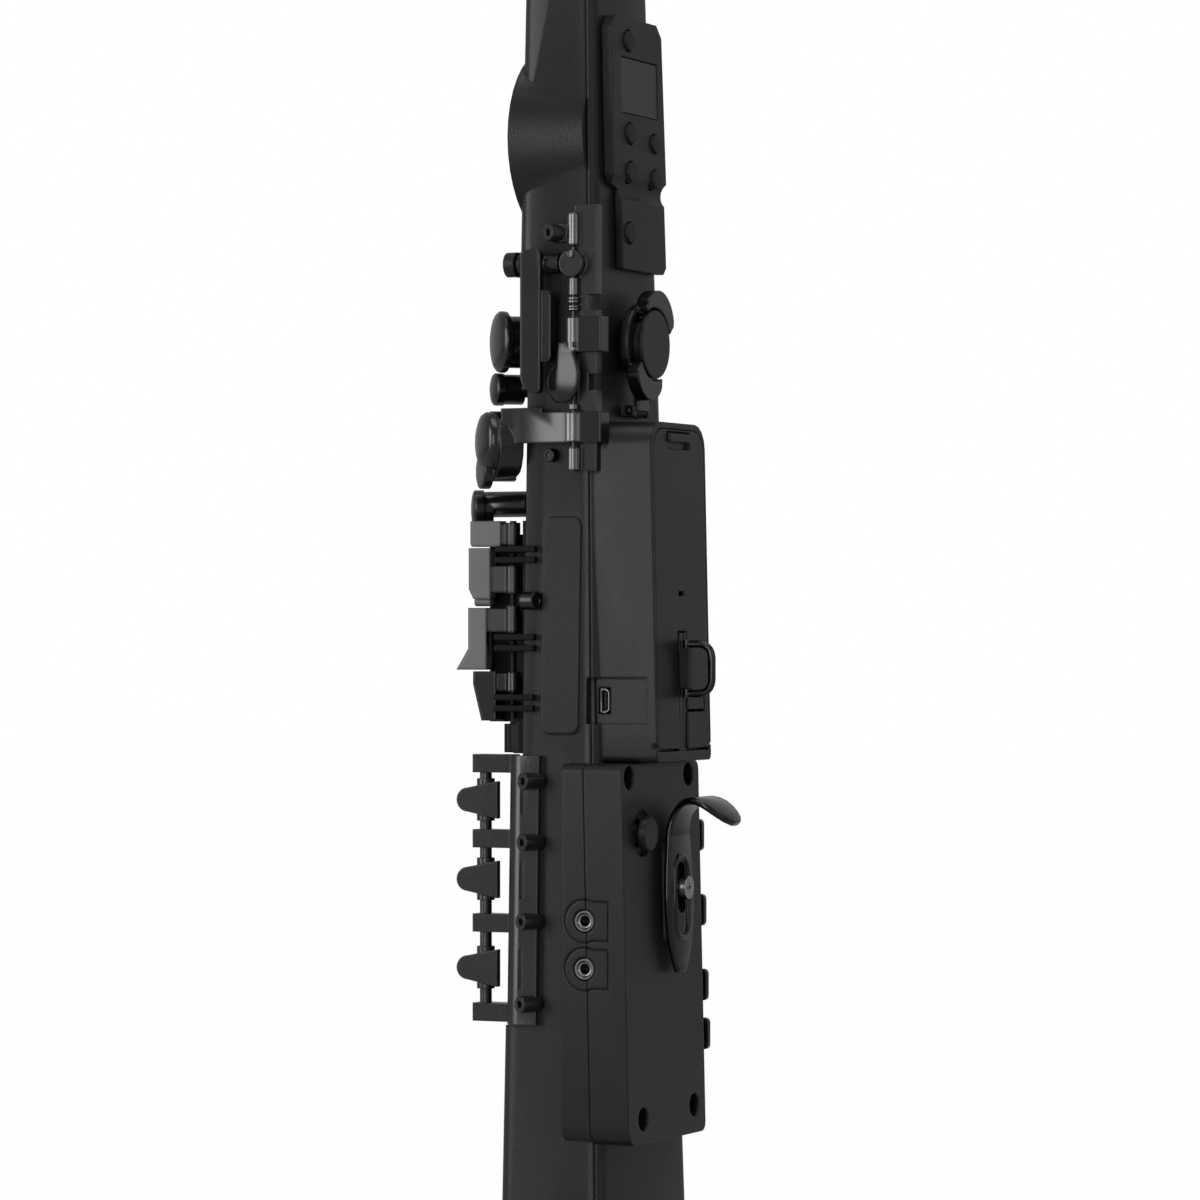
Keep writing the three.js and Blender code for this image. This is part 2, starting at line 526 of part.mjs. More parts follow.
function bayCuts() {
  const room = backBlock(square(-bay.half, bay.half, bay.bottomZ, bay.topZ), bay.floor, hump.depth + overrun);
  const seat = backBlock(coverOutline(gap), hump.depth - cover.thick - gap, hump.depth + overrun);
  const pins = bar(
    'x', cover.pinRadius + gap, -cover.half - cover.pinLength - gap * 2, cover.half + cover.pinLength + gap * 2,
    coverHinge.y, coverHinge.z, smallSides,
  );
  const railRoom = box(
    -strap.railHalf - gap, strap.railHalf + gap, strap.railInY - gap, strap.railOutY + gap,
    strap.railBottomZ - gap, cover.bottomZ + overrun,
  );
  const footRoom = bar(
    'x', cover.thick / Math.SQRT2 + gap, -cover.half - gap, cover.half + gap, coverHinge.y, coverHinge.z, roundSides,
  );
  return [room, seat, pins, railRoom, footRoom];
}

function octaveEars() {
  return [-1, 1].map((sign) => {
    const inner = sign * (octave.armHalf + gap);
    const outer = inner + sign * octave.earThick;
    const ear = box(
      Math.min(inner, outer), Math.max(inner, outer), seamAt(octave.hingeZ) + body.wall / 2, octave.hingeY + octave.hubRadius,
      octave.hingeZ - octave.hubRadius, octave.hingeZ + octave.hubRadius,
    );
    return ear.subtract(bar('x', octave.pinRadius + gap, -reach, reach, octave.hingeY, octave.hingeZ, smallSides));
  });
}

function housingBack() {
  const outer = backBlock(housingOutline(), -body.lidDepth - overrun, housing.depth);
  const pad = backBlock(
    square(-hook.padHalf, hook.padHalf, hook.padBottomZ, hook.padTopZ), housing.depth - housing.wall / 2, hook.padDepth,
  );
  return outer.add(pad);
}

function housingRoom() {
  const room = backBlock(
    housingOutline(housing.wall).map(([x, z]) => [x, z]), -body.lidDepth - overrun, housing.depth - housing.wall,
  );
  const bosses = housingScrews.map(({ x, z }) => (
    bar('y', housing.screwRadius + housing.bossWall, 0, reach, x, z, roundSides)
  ));
  const wheelBoss = bar('y', wheel.ballRadius + gap + wheel.bossWall, wheel.pivotY - wheel.ballRadius * 2, reach, wheel.x, wheel.z);
  const screwBoss = bar('y', hook.shank + gap + housing.bossWall, 0, reach, 0, hook.slotZ);
  const jackBosses = [jack.phonesZ, jack.auxZ].map((z) => (
    bar('x', jack.radius + gap + housing.bossWall, housing.leftX - jack.length - housing.bossWall, reach, jack.y, z)
  ));
  return cut(room, [...bosses, wheelBoss, screwBoss, ...jackBosses]);
}

function rearHoles() {
  const screws = housingScrews.map(({ x, z }) => {
    const faceY = backAt(z) + housing.depth;
    return bar('y', housing.screwRadius, faceY - housing.screwDeep, faceY + overrun, x, z);
  });
  const wheelFace = backAt(wheel.z) + housing.depth;
  const headY = backAt(hook.slotZ) + hook.standOff + hook.thick + hook.washerGap;
  return [
    ...screws,
    bar('y', wheel.recessRadius, wheelFace - wheel.recessDeep, wheelFace + overrun, wheel.x, wheel.z),
    bar('y', wheel.ballRadius + gap, wheel.pivotY - wheel.ballRadius - gap, reach, wheel.x, wheel.z),
    bar('y', hook.shank + gap, headY - hook.shankDeep - gap, reach, 0, hook.slotZ, smallSides),
    box(
      usb.innerX - usb.portDepth - gap, reach, usb.portY - usb.portThick / 2 - gap, usb.portY + usb.portThick / 2 + gap,
      (usb.bottomZ + usb.topZ - usb.portHigh) / 2 - gap, (usb.bottomZ + usb.topZ + usb.portHigh) / 2 + gap,
    ),
    bar('z', neck.plugRadius + gap, body.topZ - body.wall - overrun, body.topZ + overrun, 0, neck.centreY),
  ];
}

function rearShell() {
  const skin = join([bodyOuter(), humpBlock(), housingBack()]);
  const hollow = cut(skin, [bodyCavity(), housingRoom(), ...bayCuts(), usbPocket(), ...jackCuts(), ...rearHoles()]);
  return join([hollow, ...octaveEars()]).intersect(behindSeam(gap / 2));
}

// Speaker and its grille.
function speakerUnit() {
  const front = -drum.frontY + grille.thick + gap + drum.wall + gap;
  const rimBack = front + speaker.rimThick;
  const coneBack = rimBack + speaker.coneDepth;
  const middle = (speaker.rimRadius + speaker.magnetRadius) / 2;
  const profile = [
    [0, front + speaker.coneDepth / 2], [middle, front], [speaker.rimRadius, front], [speaker.rimRadius, rimBack],
    [middle, rimBack], [speaker.magnetRadius, coneBack], [speaker.magnetRadius, coneBack + speaker.magnetDepth],
    [0, coneBack + speaker.magnetDepth],
  ].map(([radius, y]) => new THREE.Vector2(radius, y));
  const made = solid(new THREE.LatheGeometry(profile, roundSides).translate(0, 0, 0));
  return made.translate([0, 0, drum.z]);
}

function grillePlate() {
  const plate = bar('y', grille.radius, -drum.frontY, -drum.frontY + grille.thick, 0, drum.z, largeSides);
  const holes = [];
  for (let ring = 0; ring <= grille.rings; ring += 1) {
    const count = ring === 0 ? 1 : ring * 6;
    for (let i = 0; i < count; i += 1) {
      const angle = (i / count) * Math.PI * 2;
      const radius = ring * grille.ringPitch;
      holes.push(bar(
        'y', grille.holeRadius, -drum.frontY - overrun, overrun, radius * Math.cos(angle), drum.z + radius * Math.sin(angle), 8,
      ));
    }
  }
  return cut(plate, holes);
}

function boardPlate() {
  const back = -board.inY + board.thick;
  return box(-board.half, board.half, -board.inY, back, board.bottomZ, board.topZ);
}

// One AA cell with its contact nub, standing along Z from its foot.
function cellShape() {
  const profile = [
    [0, 0], [cell.radius, 0], [cell.radius, cell.length], [cell.nubRadius, cell.length],
    [cell.nubRadius, cell.length + cell.nubLength], [0, cell.length + cell.nubLength],
  ].map(([radius, z]) => new THREE.Vector2(radius, z));
  return solid(new THREE.LatheGeometry(profile, roundSides).rotateX(Math.PI / 2));
}

function coverShape() {
  const plate = backBlock(coverOutline(0), hump.depth - cover.thick, hump.depth);
  const barrel = bar('x', cover.thick / 2, -cover.half, cover.half, coverHinge.y, coverHinge.z, smallSides);
  const pins = bar(
    'x', cover.pinRadius, -cover.half - cover.pinLength, cover.half + cover.pinLength, coverHinge.y, coverHinge.z, smallSides,
  );
  const recess = backBlock(
    square(-cover.tabHalf - cover.recessSide, cover.tabHalf + cover.recessSide, cover.tabBottomZ - cover.recessFoot, cover.tabTopZ),
    hump.depth - cover.recessDeep, hump.depth + overrun,
  );
  const tab = backBlock(
    square(-cover.tabHalf, cover.tabHalf, cover.tabBottomZ, cover.tabTopZ), hump.depth - cover.thick + gap,
    hump.depth + cover.tabRise, square(-cover.tabHalf, cover.tabHalf, cover.tabBottomZ, cover.tabTopZ - cover.tabRise),
  );
  const slot = box(-strap.slotHalf, strap.slotHalf, 0, reach, 0, strap.slotTopZ);
  const slit = box(
    -cover.slitHalf, cover.slitHalf, 0, reach, cover.slitZ - cover.slitHigh / 2, cover.slitZ + cover.slitHigh / 2,
  );
  const hookSlitTop = cover.hookSlitZ + cover.hookSlitWide;
  const hookSlit = [
    box(-cover.hookSlitX, 0, 0, reach, cover.hookSlitZ, hookSlitTop),
    box(-cover.hookSlitX, cover.hookSlitWide - cover.hookSlitX, 0, reach, hookSlitTop - gap, hookSlitTop + cover.hookSlitUp),
  ];
  return cut(join([plate.subtract(recess), barrel, pins, tab]), [slot, slit, ...hookSlit]);
}

function strapPlate() {
  const rail = box(
    -strap.railHalf, strap.railHalf, strap.railInY, strap.railOutY, strap.railBottomZ, strap.railTopZ,
  );
  const low = strap.pivotZ - strap.knuckleHigh / 2;
  const knuckle = box(
    -strap.railHalf, strap.railHalf, strap.railOutY - gap, strap.knuckleOutY, low, low + strap.knuckleHigh,
  );
  const bore = bar('z', strap.wireRadius + gap, low - overrun, low + strap.knuckleHigh + overrun, 0, strap.pivotY);
  return rail.add(knuckle).subtract(bore);
}

// Ring: a straight leg through the knuckle and a round-cornered loop behind it.
function strapRing() {
  const low = strap.pivotZ - strap.ringHigh / 2;
  const high = strap.pivotZ + strap.ringHigh / 2;
  const corner = (strap.ringOutY - strap.pivotY) / 2;
  const outY = strap.ringOutY - strap.wireRadius;
  const path = new THREE.CurvePath();
  const at = (y, z) => new THREE.Vector3(0, y, z);
  path.add(new THREE.LineCurve3(at(strap.pivotY, low), at(outY - corner, low)));
  path.add(new THREE.QuadraticBezierCurve3(at(outY - corner, low), at(outY, low), at(outY, low + corner)));
  path.add(new THREE.LineCurve3(at(outY, low + corner), at(outY, high - corner)));
  path.add(new THREE.QuadraticBezierCurve3(at(outY, high - corner), at(outY, high), at(outY - corner, high)));
  path.add(new THREE.LineCurve3(at(outY - corner, high), at(strap.pivotY, high)));
  const loop = new THREE.ExtrudeGeometry(circle(strap.wireRadius, 10), { steps: 28, extrudePath: path });
  const leg = bar('z', strap.wireRadius, low - strap.wireRadius, high + strap.wireRadius, 0, strap.pivotY, 10);
  return solid(loop).add(leg);
}

function circle(radius, sides) {
  const points = Array.from({ length: sides }, (_, i) => {
    const angle = (i / sides) * Math.PI * 2;
    return new THREE.Vector2(radius * Math.cos(angle), radius * Math.sin(angle));
  });
  return new THREE.Shape(points);
}

function usbShell() {
  const middle = (usb.bottomZ + usb.topZ) / 2;
  const outer = box(
    usb.innerX - usb.portDepth, usb.innerX, usb.portY - usb.portThick / 2, usb.portY + usb.portThick / 2,
    middle - usb.portHigh / 2, middle + usb.portHigh / 2,
  );
  const mouthHole = box(
    usb.innerX - usb.portDepth + usb.portWall, usb.innerX + overrun,
    usb.portY - usb.portThick / 2 + usb.portWall, usb.portY + usb.portThick / 2 - usb.portWall,
    middle - usb.portHigh / 2 + usb.portWall, middle + usb.portHigh / 2 - usb.portWall,
  );
  return outer.subtract(mouthHole);
}

function jackBarrel(z) {
  const barrel = bar('x', jack.radius, housing.leftX - jack.length, housing.leftX, jack.y, z);
  return barrel.subtract(bar('x', jack.bore, housing.leftX - jack.boreDeep, housing.leftX + overrun, jack.y, z, smallSides));
}

// Control panel: a low and a high pad with a rounded valley across, and a pointed nose at the valley's end.
function panelParts() {
  const right = (z) => -halfAt(z) + panel.sideInset;
  const foot = panel.bottomZ + panel.footCorner;
  const shoulder = panel.valleyZ + panel.highFoot;
  const lowPad = backBlock([
    [right(foot), foot], [right(panel.bottomZ) + panel.footCorner, panel.bottomZ], [panel.lowLeftX - gap, panel.bottomZ],
    [panel.lowLeftX, panel.bottomZ + gap], [panel.lowLeftX, panel.valleyZ + gap], [right(panel.valleyZ), panel.valleyZ + gap],
  ], gap, panel.lowThick + gap);
  const highPad = backBlock([
    [right(panel.valleyZ), panel.valleyZ], [panel.lowLeftX + gap, panel.valleyZ],
    [panel.highLeftX - panel.corner / 2, panel.valleyZ + panel.highFoot / 3],
    [panel.highLeftX - gap, shoulder - gap * 2], [panel.highLeftX, shoulder + gap],
    [panel.highLeftX, panel.topZ - panel.corner], [panel.highLeftX - panel.corner, panel.topZ],
    [right(panel.topZ) + panel.corner, panel.topZ], [right(panel.topZ), panel.topZ - panel.corner],
  ], gap, panel.thick + gap);
  const floor = backAt(panel.valleyZ) + gap + panel.thick - panel.valleyDeep;
  const valley = bar(
    'x', panel.valleyRadius, -reach, reach, floor + panel.valleyRadius, panel.valleyZ, roundSides,
  );
  return join([lowPad, highPad]).subtract(valley);
}
function displayOutline(extra) {
  return square(-display.rightX - extra, display.leftX + extra, display.bottomZ - extra, display.topZ + extra);
}

function panelShape() {
  const window = backBlock(displayOutline(gap), panel.thick - display.sunk - display.thick, panel.thick + overrun);
  const wells = buttonPlaces.map(({ x, z, small, lowPad }) => {
    const radius = (small ? button.smallRadius : button.bigRadius) + gap;
    const face = backAt(z) + (lowPad ? panel.lowThick : panel.thick) + gap;
    return bar('y', radius, face - button.sunk - button.travel - gap, face + overrun, x, z);
  });
  return cut(panelParts(), [window, ...wells]);
}

function displayShape() {
  const face = panel.thick + gap - display.sunk;
  return backBlock(displayOutline(0), face - display.thick, face);
}

function buttonShape({ x, z, small, lowPad }) {
  const radius = small ? button.smallRadius : button.bigRadius;
  const face = backAt(z) + (lowPad ? panel.lowThick : panel.thick) + gap;
  return bar('y', radius, face - button.sunk, face + button.proud, x, z, roundSides, radius - gap);
}

function thumbRest() {
  const post = bar('y', rest.postRadius, backAt(rest.z - rest.postRadius) + gap, rest.faceY - gap, 0, rest.z);
  return post.add(bar('y', rest.radius, rest.faceY - rest.thick, rest.faceY, 0, rest.z, largeSides));
}

// A crescent round the thumb rest, from one angle to another (degrees from +X towards +Z).
function crescent(fromAngle, toAngle, fromThick, middleThick, toThick) {
  const steps = 18;
  const inner = [];
  const outer = [];
  for (let i = 0; i <= steps; i += 1) {
    const share = i / steps;
    const near = Math.min(share, 1 - share) * octave.endShare;
    const rounding = near < 1 ? Math.sqrt(1 - (1 - near) ** 2) : 1;
    const angle = THREE.MathUtils.degToRad(THREE.MathUtils.lerp(fromAngle, toAngle, share));
    const bulge = middleThick - (fromThick + toThick) / 2;
    const full = THREE.MathUtils.lerp(fromThick, toThick, share) + bulge * Math.sin(Math.PI * share);
    const radius = octave.padIn + gap + (full - gap) * rounding;
    inner.push([octave.padIn * Math.cos(angle), rest.z + octave.padIn * Math.sin(angle)]);
    outer.push([radius * Math.cos(angle), rest.z + radius * Math.sin(angle)]);
  }
  return prism('y', [...inner, ...outer.reverse()], octave.ringOutY - gap, octave.faceY);
}

function octaveKey() {
  const ring = bar('y', octave.ringOut, octave.ringInY, octave.ringOutY, 0, rest.z, largeSides)
    .subtract(bar('y', octave.ringIn, 0, reach, 0, rest.z, largeSides));
  const arm = box(
    -octave.armHalf, octave.armHalf, octave.ringInY + gap, octave.ringOutY - gap, octave.hingeZ, rest.z - octave.ringIn - gap * 3,
  );
  const hub = bar('x', octave.hubRadius, -octave.armHalf, octave.armHalf, octave.hingeY, octave.hingeZ, smallSides);
  const pinHalf = octave.armHalf + octave.pinReach;
  const pin = bar('x', octave.pinRadius, -pinHalf, pinHalf, octave.hingeY, octave.hingeZ, smallSides);
  return join([
    ring, arm, hub, pin, crescent(62, 161, octave.tipThick, octave.upperThick, octave.endThick),
    crescent(244, 330, octave.tipThick, octave.lowerThick, octave.endThick),
  ]);
}

// A tube round an upright rod.
function rodTube(radius, bore, bottom, top, x, y) {
  return bar('z', radius, bottom, top, x, y, smallSides)
    .subtract(bar('z', bore, bottom - overrun, top + overrun, x, y, smallSides));
}

// A cap screw that leans out of the left flank, with its hexagon socket.
function capScrew(x, y, z) {
  const lean = Math.atan2(bumper.outY, bumper.outX);
  const long = new THREE.CylinderGeometry(bumper.radius, bumper.radius, bumper.length + body.wall, smallSides);
  long.rotateZ(-Math.PI / 2).translate((bumper.length - body.wall) / 2, 0, 0);
  const hex = new THREE.CylinderGeometry(bumper.socket, bumper.socket, bumper.socketDeep * 2, 6);
  hex.rotateZ(-Math.PI / 2).translate(bumper.length, 0, 0);
  return placed(long, x, y, z, lean).subtract(placed(hex, x, y, z, lean));
}

const palmX = halfAt(palm.bottomZ) + palm.rodOut;

function palmRail() {
  const rail = box(palmX - palm.railIn, palmX - palm.railOut, palm.railFrontY, palm.railBackY, palm.bottomZ, palm.railTopZ);
  const notches = palm.notchZ.map((z) => (
    box(0, reach, palm.railBackY - palm.notchDeep, reach, z - palm.notchHigh / 2, z + palm.notchHigh / 2)
  ));
  const knuckle = palm.rodY - palm.lugFrontY;
  const lugShapes = [
    bar('z', palm.tubeRadius, palm.bottomZ, palm.lowLugTopZ, palmX, palm.rodY, roundSides),
    box(palmX - palm.lugIn, palmX + palm.lugStep, palm.rodY, palm.lugBackY, palm.bottomZ + gap, palm.lowLugTopZ - gap),
    bar('x', knuckle, palmX - palm.lugIn, palmX + palm.lugOut, palm.rodY, palm.highLugBottomZ + knuckle),
  ];
  const capTube = bar('z', palm.tubeRadius, palm.topZ, palm.capTopZ, palmX, palm.rodY, smallSides);
  const screwPad = box(
    palmX - palmBumper.padIn, palmX + palmBumper.padOut, palmBumper.padFrontY, palmBumper.padBackY,
    palmBumper.z - palmBumper.padHigh / 2, palmBumper.z + palmBumper.padHigh / 2,
  );
  const bore = bar('z', palm.rodRadius + gap, palm.bottomZ - overrun, palm.topZ, palmX, palm.rodY, smallSides);
  const pinHole = bar(
    'y', paddle.pinRadius + gap, 0, paddle.barrelBackY + paddle.pinReach + gap, palmX - paddle.hingeIn, paddle.hingeZ, smallSides,
  );
  const tubeRoom = bar('z', palm.tubeRadius + gap, palm.lowLugTopZ, palm.highLugBottomZ, palmX, palm.rodY, roundSides);
  const wideRoom = bar(
    'z', band.wideRadius + gap, dome.bandBottomZ - gap, dome.bandTopZ + gap, palmX, palm.rodY, roundSides,
  );
  const midRoom = bar(
    'z', band.midRadius + gap, spoon.bandBottomZ - gap, spoon.bandTopZ + gap, palmX, palm.rodY, roundSides,
  );
  const whole = join([
    cut(rail, [tubeRoom, wideRoom, midRoom]), ...lugShapes, capTube, screwPad, capScrew(palmX - palmBumper.in, palmBumper.y, palmBumper.z),
  ]);
  return cut(whole, [...notches, bore, pinHole, grownBody()]);
}

function palmRod() {
  return bar('z', palm.rodRadius, palm.bottomZ, palm.topZ - gap, palmX, palm.rodY, smallSides);
}

// The part of a key that turns on the rod and wraps round the rail.
function keyBand(bottom, top, radius = palm.tubeRadius) {
  const outer = palmX + band.out;
  const tube = bar('z', radius, bottom, top, palmX, palm.rodY);
  const flat = box(outer - band.thick, outer, palm.rodY, band.backY, bottom, top);
  const wrap = box(palmX - band.wrapIn, outer, band.backY - band.thick, band.backY, bottom, top);
  return join([tube, flat, wrap]);
}

function rodBore(bottom, top) {
  return bar('z', palm.rodRadius + gap, bottom - overrun, top + overrun, palmX, palm.rodY, smallSides);
}

function spoonKey() {
  const x = palmX + spoon.out;
  const leaf = loft(spoonShares.map(({ up, wide, fore }) => {
    const z = THREE.MathUtils.lerp(spoon.bottomZ, spoon.topZ, up);
    const front = THREE.MathUtils.lerp(spoon.ridgeY, spoon.frontY, fore);
    const back = THREE.MathUtils.lerp(spoon.ridgeY, spoon.backY, wide);
    return [
      new THREE.Vector3(x, front, z), new THREE.Vector3(x + spoon.crown * wide, spoon.ridgeY, z),
      new THREE.Vector3(x + spoon.crown * wide / 3, (spoon.ridgeY + back * 2) / 3, z), new THREE.Vector3(x, back, z),
      new THREE.Vector3(x - spoon.thin, spoon.ridgeY, z),
    ];
  }));
  const neckBlock = box(
    x - spoon.thin, x + gap, spoon.ridgeY, palm.rodY + palm.tubeRadius, spoon.topZ - band.thick, spoon.bandBottomZ + band.thick * 2,
  );
  const whole = join([keyBand(spoon.bandBottomZ, spoon.bandTopZ, band.midRadius), leaf, neckBlock]);
  return whole.subtract(rodBore(spoon.bottomZ, spoon.bandTopZ));
}

function paddleKey() {
  const x = palmX - paddle.hingeIn;
  const barrel = bar('y', paddle.barrelRadius, paddle.barrelFrontY, paddle.barrelBackY, x, paddle.hingeZ);
  const pin = bar(
    'y', paddle.pinRadius, paddle.barrelFrontY - gap - paddle.pinReach, paddle.barrelBackY + paddle.pinReach,
    x, paddle.hingeZ, smallSides,
  );
  const small = paddle.smallCorner;
  const plate = prism('x', roundedOutline(
    paddle.frontY, paddle.backY, paddle.bottomZ, paddle.topZ, [paddle.corner, small, small, small],
  ), palmX + paddle.out, palmX + paddle.out + paddle.thick);
  const corner = paddle.prongCorner;
  const prong = prism('x', roundedOutline(
    paddle.backY - corner, paddle.prongBackY, paddle.prongBottomZ, paddle.prongTopZ, [corner, corner, corner, corner],
  ), palmX + paddle.prongOut, palmX + paddle.prongOut + paddle.prongThick);
  return join([barrel, pin, plate, prong]);
}

// A touch with a crowned face, its axis along -Y before it is turned about Z and placed.
function touch(radius, thick, crown, x, y, z, turn) {
  const steps = 4;
  const profile = [new THREE.Vector2(0, 0), new THREE.Vector2(radius, 0)];
  for (let i = 0; i <= steps; i += 1) {
    const angle = (i / steps) * (Math.PI / 2);
    profile.push(new THREE.Vector2(radius * Math.cos(angle), thick + crown * Math.sin(angle)));
  }
  profile[profile.length - 1].x = 0;
  const geometry = new THREE.LatheGeometry(profile, roundSides);
  geometry.rotateX(Math.PI);
  return placed(geometry, x, y, z, THREE.MathUtils.degToRad(turn));
}

// A touch on the cup behind it, both turned about Z.
function cuppedTouch({ radius, thick, crown, turn, cupRadius, cupDeep }, x, y, z, cupZ = z) {
  const angle = THREE.MathUtils.degToRad(turn);
  const cup = new THREE.CylinderGeometry(cupRadius, cupRadius, cupDeep, roundSides);
  cup.translate(0, cupDeep / 2 - gap, 0);
  return touch(radius, thick, crown, x, y, z, turn).add(placed(cup, x, y, cupZ, angle));
}

function domeKey() {
  const low = palmX + dome.armOut - dome.armThick / 2;
  const high = low + dome.armThick;
  const rear = box(low, high, dome.armStepY - gap, palm.rodY, dome.bandBottomZ, dome.bandTopZ);
  const front = prism('z', [
    [low, dome.armStepY], [low, dome.armFrontY], [palmX - dome.stemIn, dome.armTipY], [palmX - dome.stemIn, dome.stemFrontY],
    [palmX - dome.stemIn + dome.stemThick, dome.stemFrontY], [palmX - dome.stemIn + dome.stemThick, dome.armTipY],
    [high, dome.armFrontY], [high, dome.armStepY],
  ], dome.bandBottomZ, dome.armFrontTopZ);
  const upper = cuppedTouch(dome, palmX - dome.in, dome.y, dome.z, dome.cupZ);
  const lower = touch(dome.lowRadius, dome.lowThick, gap, palmX - dome.lowIn, dome.lowY, dome.lowZ, dome.turn);
  const whole = join([keyBand(dome.bandBottomZ, dome.bandTopZ, band.wideRadius), rear, front, upper, lower]);
  return cut(whole, [rodBore(dome.bandBottomZ, dome.armFrontTopZ), grownBody()]);
}

function stackRail() {
  const strip = box(
    stack.rodX - stack.postHalf, stack.rodX + stack.postHalf, -stack.railOutY, -bed.depthY - gap, stack.bottomZ, stack.topZ,
  );
  const posts = stack.postZ.map((z) => box(
    stack.rodX - stack.postHalf, stack.rodX + stack.postHalf, -stack.postOutY, -bed.depthY - gap, z, z + stack.postThick,
  ));
  const rod = bar('z', stack.rodRadius, stack.bottomZ, stack.topZ, stack.rodX, -stack.rodY, smallSides);
  return join([strip, ...posts, rod]);
}

function stackKey(key) {
  const { tubeBottomZ, tubeTopZ, x, y, z, cupDeep, turn, stemRadius = stackArm.stemRadius } = key;
  const tube = bar('z', stack.tubeRadius, tubeBottomZ, tubeTopZ, stack.rodX, -stack.rodY, smallSides);
  const middle = (tubeBottomZ + tubeTopZ) / 2;
  const high = Math.min(stackArm.high, tubeTopZ - tubeBottomZ) / 2;
  const armY = -stack.rodY - stackArm.thick / 2;
  const angle = THREE.MathUtils.degToRad(turn);
  const footX = x - Math.sin(angle) * cupDeep / 2;
  const arm = box(stack.rodX, footX, armY, armY + stackArm.thick, middle - high, middle + high);
  const stem = bar('y', stemRadius, -y + gap, armY + stackArm.thick, footX, middle);
  const whole = join([tube, arm, stem, cuppedTouch(key, x, -y, z)]);
  return whole.subtract(bar(
    'z', stack.rodRadius + gap, tubeBottomZ - overrun, tubeTopZ + overrun, stack.rodX, -stack.rodY, smallSides,
  ));
}

function tableBracket() {
  const left = table.rodX + table.tubeRadius;
  const strip = box(table.postInX, left, -table.railOutY, -bed.depthY - gap, table.bottomZ, table.topZ);
  const rod = bar('z', table.rodRadius, table.bottomZ, table.topZ, table.rodX, -table.rodY, smallSides);
  const cap = bar('z', table.capRadius, table.capBottomZ, table.capTopZ, table.rodX, -table.rodY, smallSides);
  // Each post is a pair of bars that reach round the front corner to the flank.
  const bars = table.postZ.flatMap((z) => [0, table.barHigh + table.barGap].map((rise) => {
    const low = z + rise;
    const flankX = halfAt(low) + gap;
    const across = box(table.postInX, flankX + table.barOut, -table.postOutY, -bed.depthY - gap, low, low + table.barHigh);
    const along = box(flankX, flankX + table.barOut, -table.postOutY, -table.barBackY, low, low + table.barHigh);
    return across.add(along);
  }));
  const wallX = table.rodX - table.wallIn;
  const wall = box(
    wallX, wallX + table.wallThick, -table.wallOutY, -bed.depthY - gap, table.wallBottomZ, table.wallTopZ,
  );
  const foot = box(
    wallX + gap, table.postInX + gap, -table.railOutY + gap, -bed.depthY - gap * 2, table.wallBottomZ + gap, table.wallTopZ - gap,
  );
  const block = box(
    wallX + gap, left - gap, -table.blockOutY, -bed.depthY - gap * 3, table.blockBottomZ, table.blockTopZ,
  );
  return join([strip, rod, cap, wall, foot, block, ...bars]);
}

function tableKey({ tubeBottomZ, tubeTopZ, bottomZ, topZ, frontY, backY, lip, cut: cutHigh, roller }) {
  const tube = bar('z', table.tubeRadius, tubeBottomZ, tubeTopZ, table.rodX, -table.rodY, smallSides);
  const low = Math.max(bottomZ, tubeBottomZ) + gap;
  const high = Math.min(topZ, tubeTopZ) - gap;
  const arm = box(table.rodX - table.armHalf, table.rodX + table.armHalf, -backY - gap, -table.rodY, low, high);
  const outline = lip === 0
    ? [[-backY, bottomZ], [-backY, topZ], [-frontY, topZ], [-frontY, bottomZ + cutHigh], [-frontY + cutHigh / 2, bottomZ]]
    : [[-backY, bottomZ], [-backY, topZ], [-frontY, topZ], [-frontY, bottomZ + cutHigh], [-frontY - lip, bottomZ + gap],
      [-frontY - lip, bottomZ]];
  const plate = prism('x', outline, table.rodX - table.touchIn, table.rodX + table.touchOut);
  const ends = roller
    ? [bar('y', table.rollerRadius, -frontY + cutHigh / 2, -backY - gap, table.rodX, table.rollerZ)]
    : [];
  return join([tube, arm, plate, ...ends]).subtract(bar(
    'z', table.rodRadius + gap, bottomZ - overrun, topZ + overrun, table.rodX, -table.rodY, smallSides,
  ));
}

// Right-hand bracket: a flank plate that follows the taper, with posts for the lever rod.
function forkBracket() {
  const steps = 5;
  const ring = (z) => {
    const centreX = halfAt(z) + gap + fork.thick - fork.bend;
    const arc = (radius) => Array.from({ length: steps + 1 }, (_, i) => {
      const angle = Math.PI / 2 * (i / steps);
      return new THREE.Vector3(centreX + radius * Math.cos(angle), -fork.bedY - radius * Math.sin(angle), z);
    });
    return [
      new THREE.Vector3(centreX + fork.bend, -fork.backY, z), ...arc(fork.bend),
      ...arc(fork.bend - fork.thick).reverse(), new THREE.Vector3(centreX + fork.bend - fork.thick, -fork.backY, z),
    ];
  };
  const slots = fork.slots.map(([low, high]) => box(
    halfAt(low) + gap + fork.thick / 2, reach, -fork.slotMidY - fork.slotHalf, -fork.slotMidY + fork.slotHalf, low, high,
  ));
  const plate = cut(loft([ring(fork.bottomZ), ring(fork.topZ)]), slots);
  const posts = fork.postZ.map((z) => box(
    fork.rodX - fork.postHalf, fork.rodX + fork.postHalf, -fork.rodY - fork.postHalf, -fork.bedY - fork.bend + fork.thick / 2,
    z, z + fork.postThick,
  ));
  const rod = bar('z', fork.rodRadius, fork.postZ[0], fork.postZ[fork.postZ.length - 1] + fork.postThick, fork.rodX, -fork.rodY);
  const screws = fork.screwZ.map((z) => (
    capScrew(halfAt(z) + fork.thick, -fork.screwY, z)
      .subtract(grownBody())
  ));
  return join([plate, ...posts, rod, ...screws]);
}

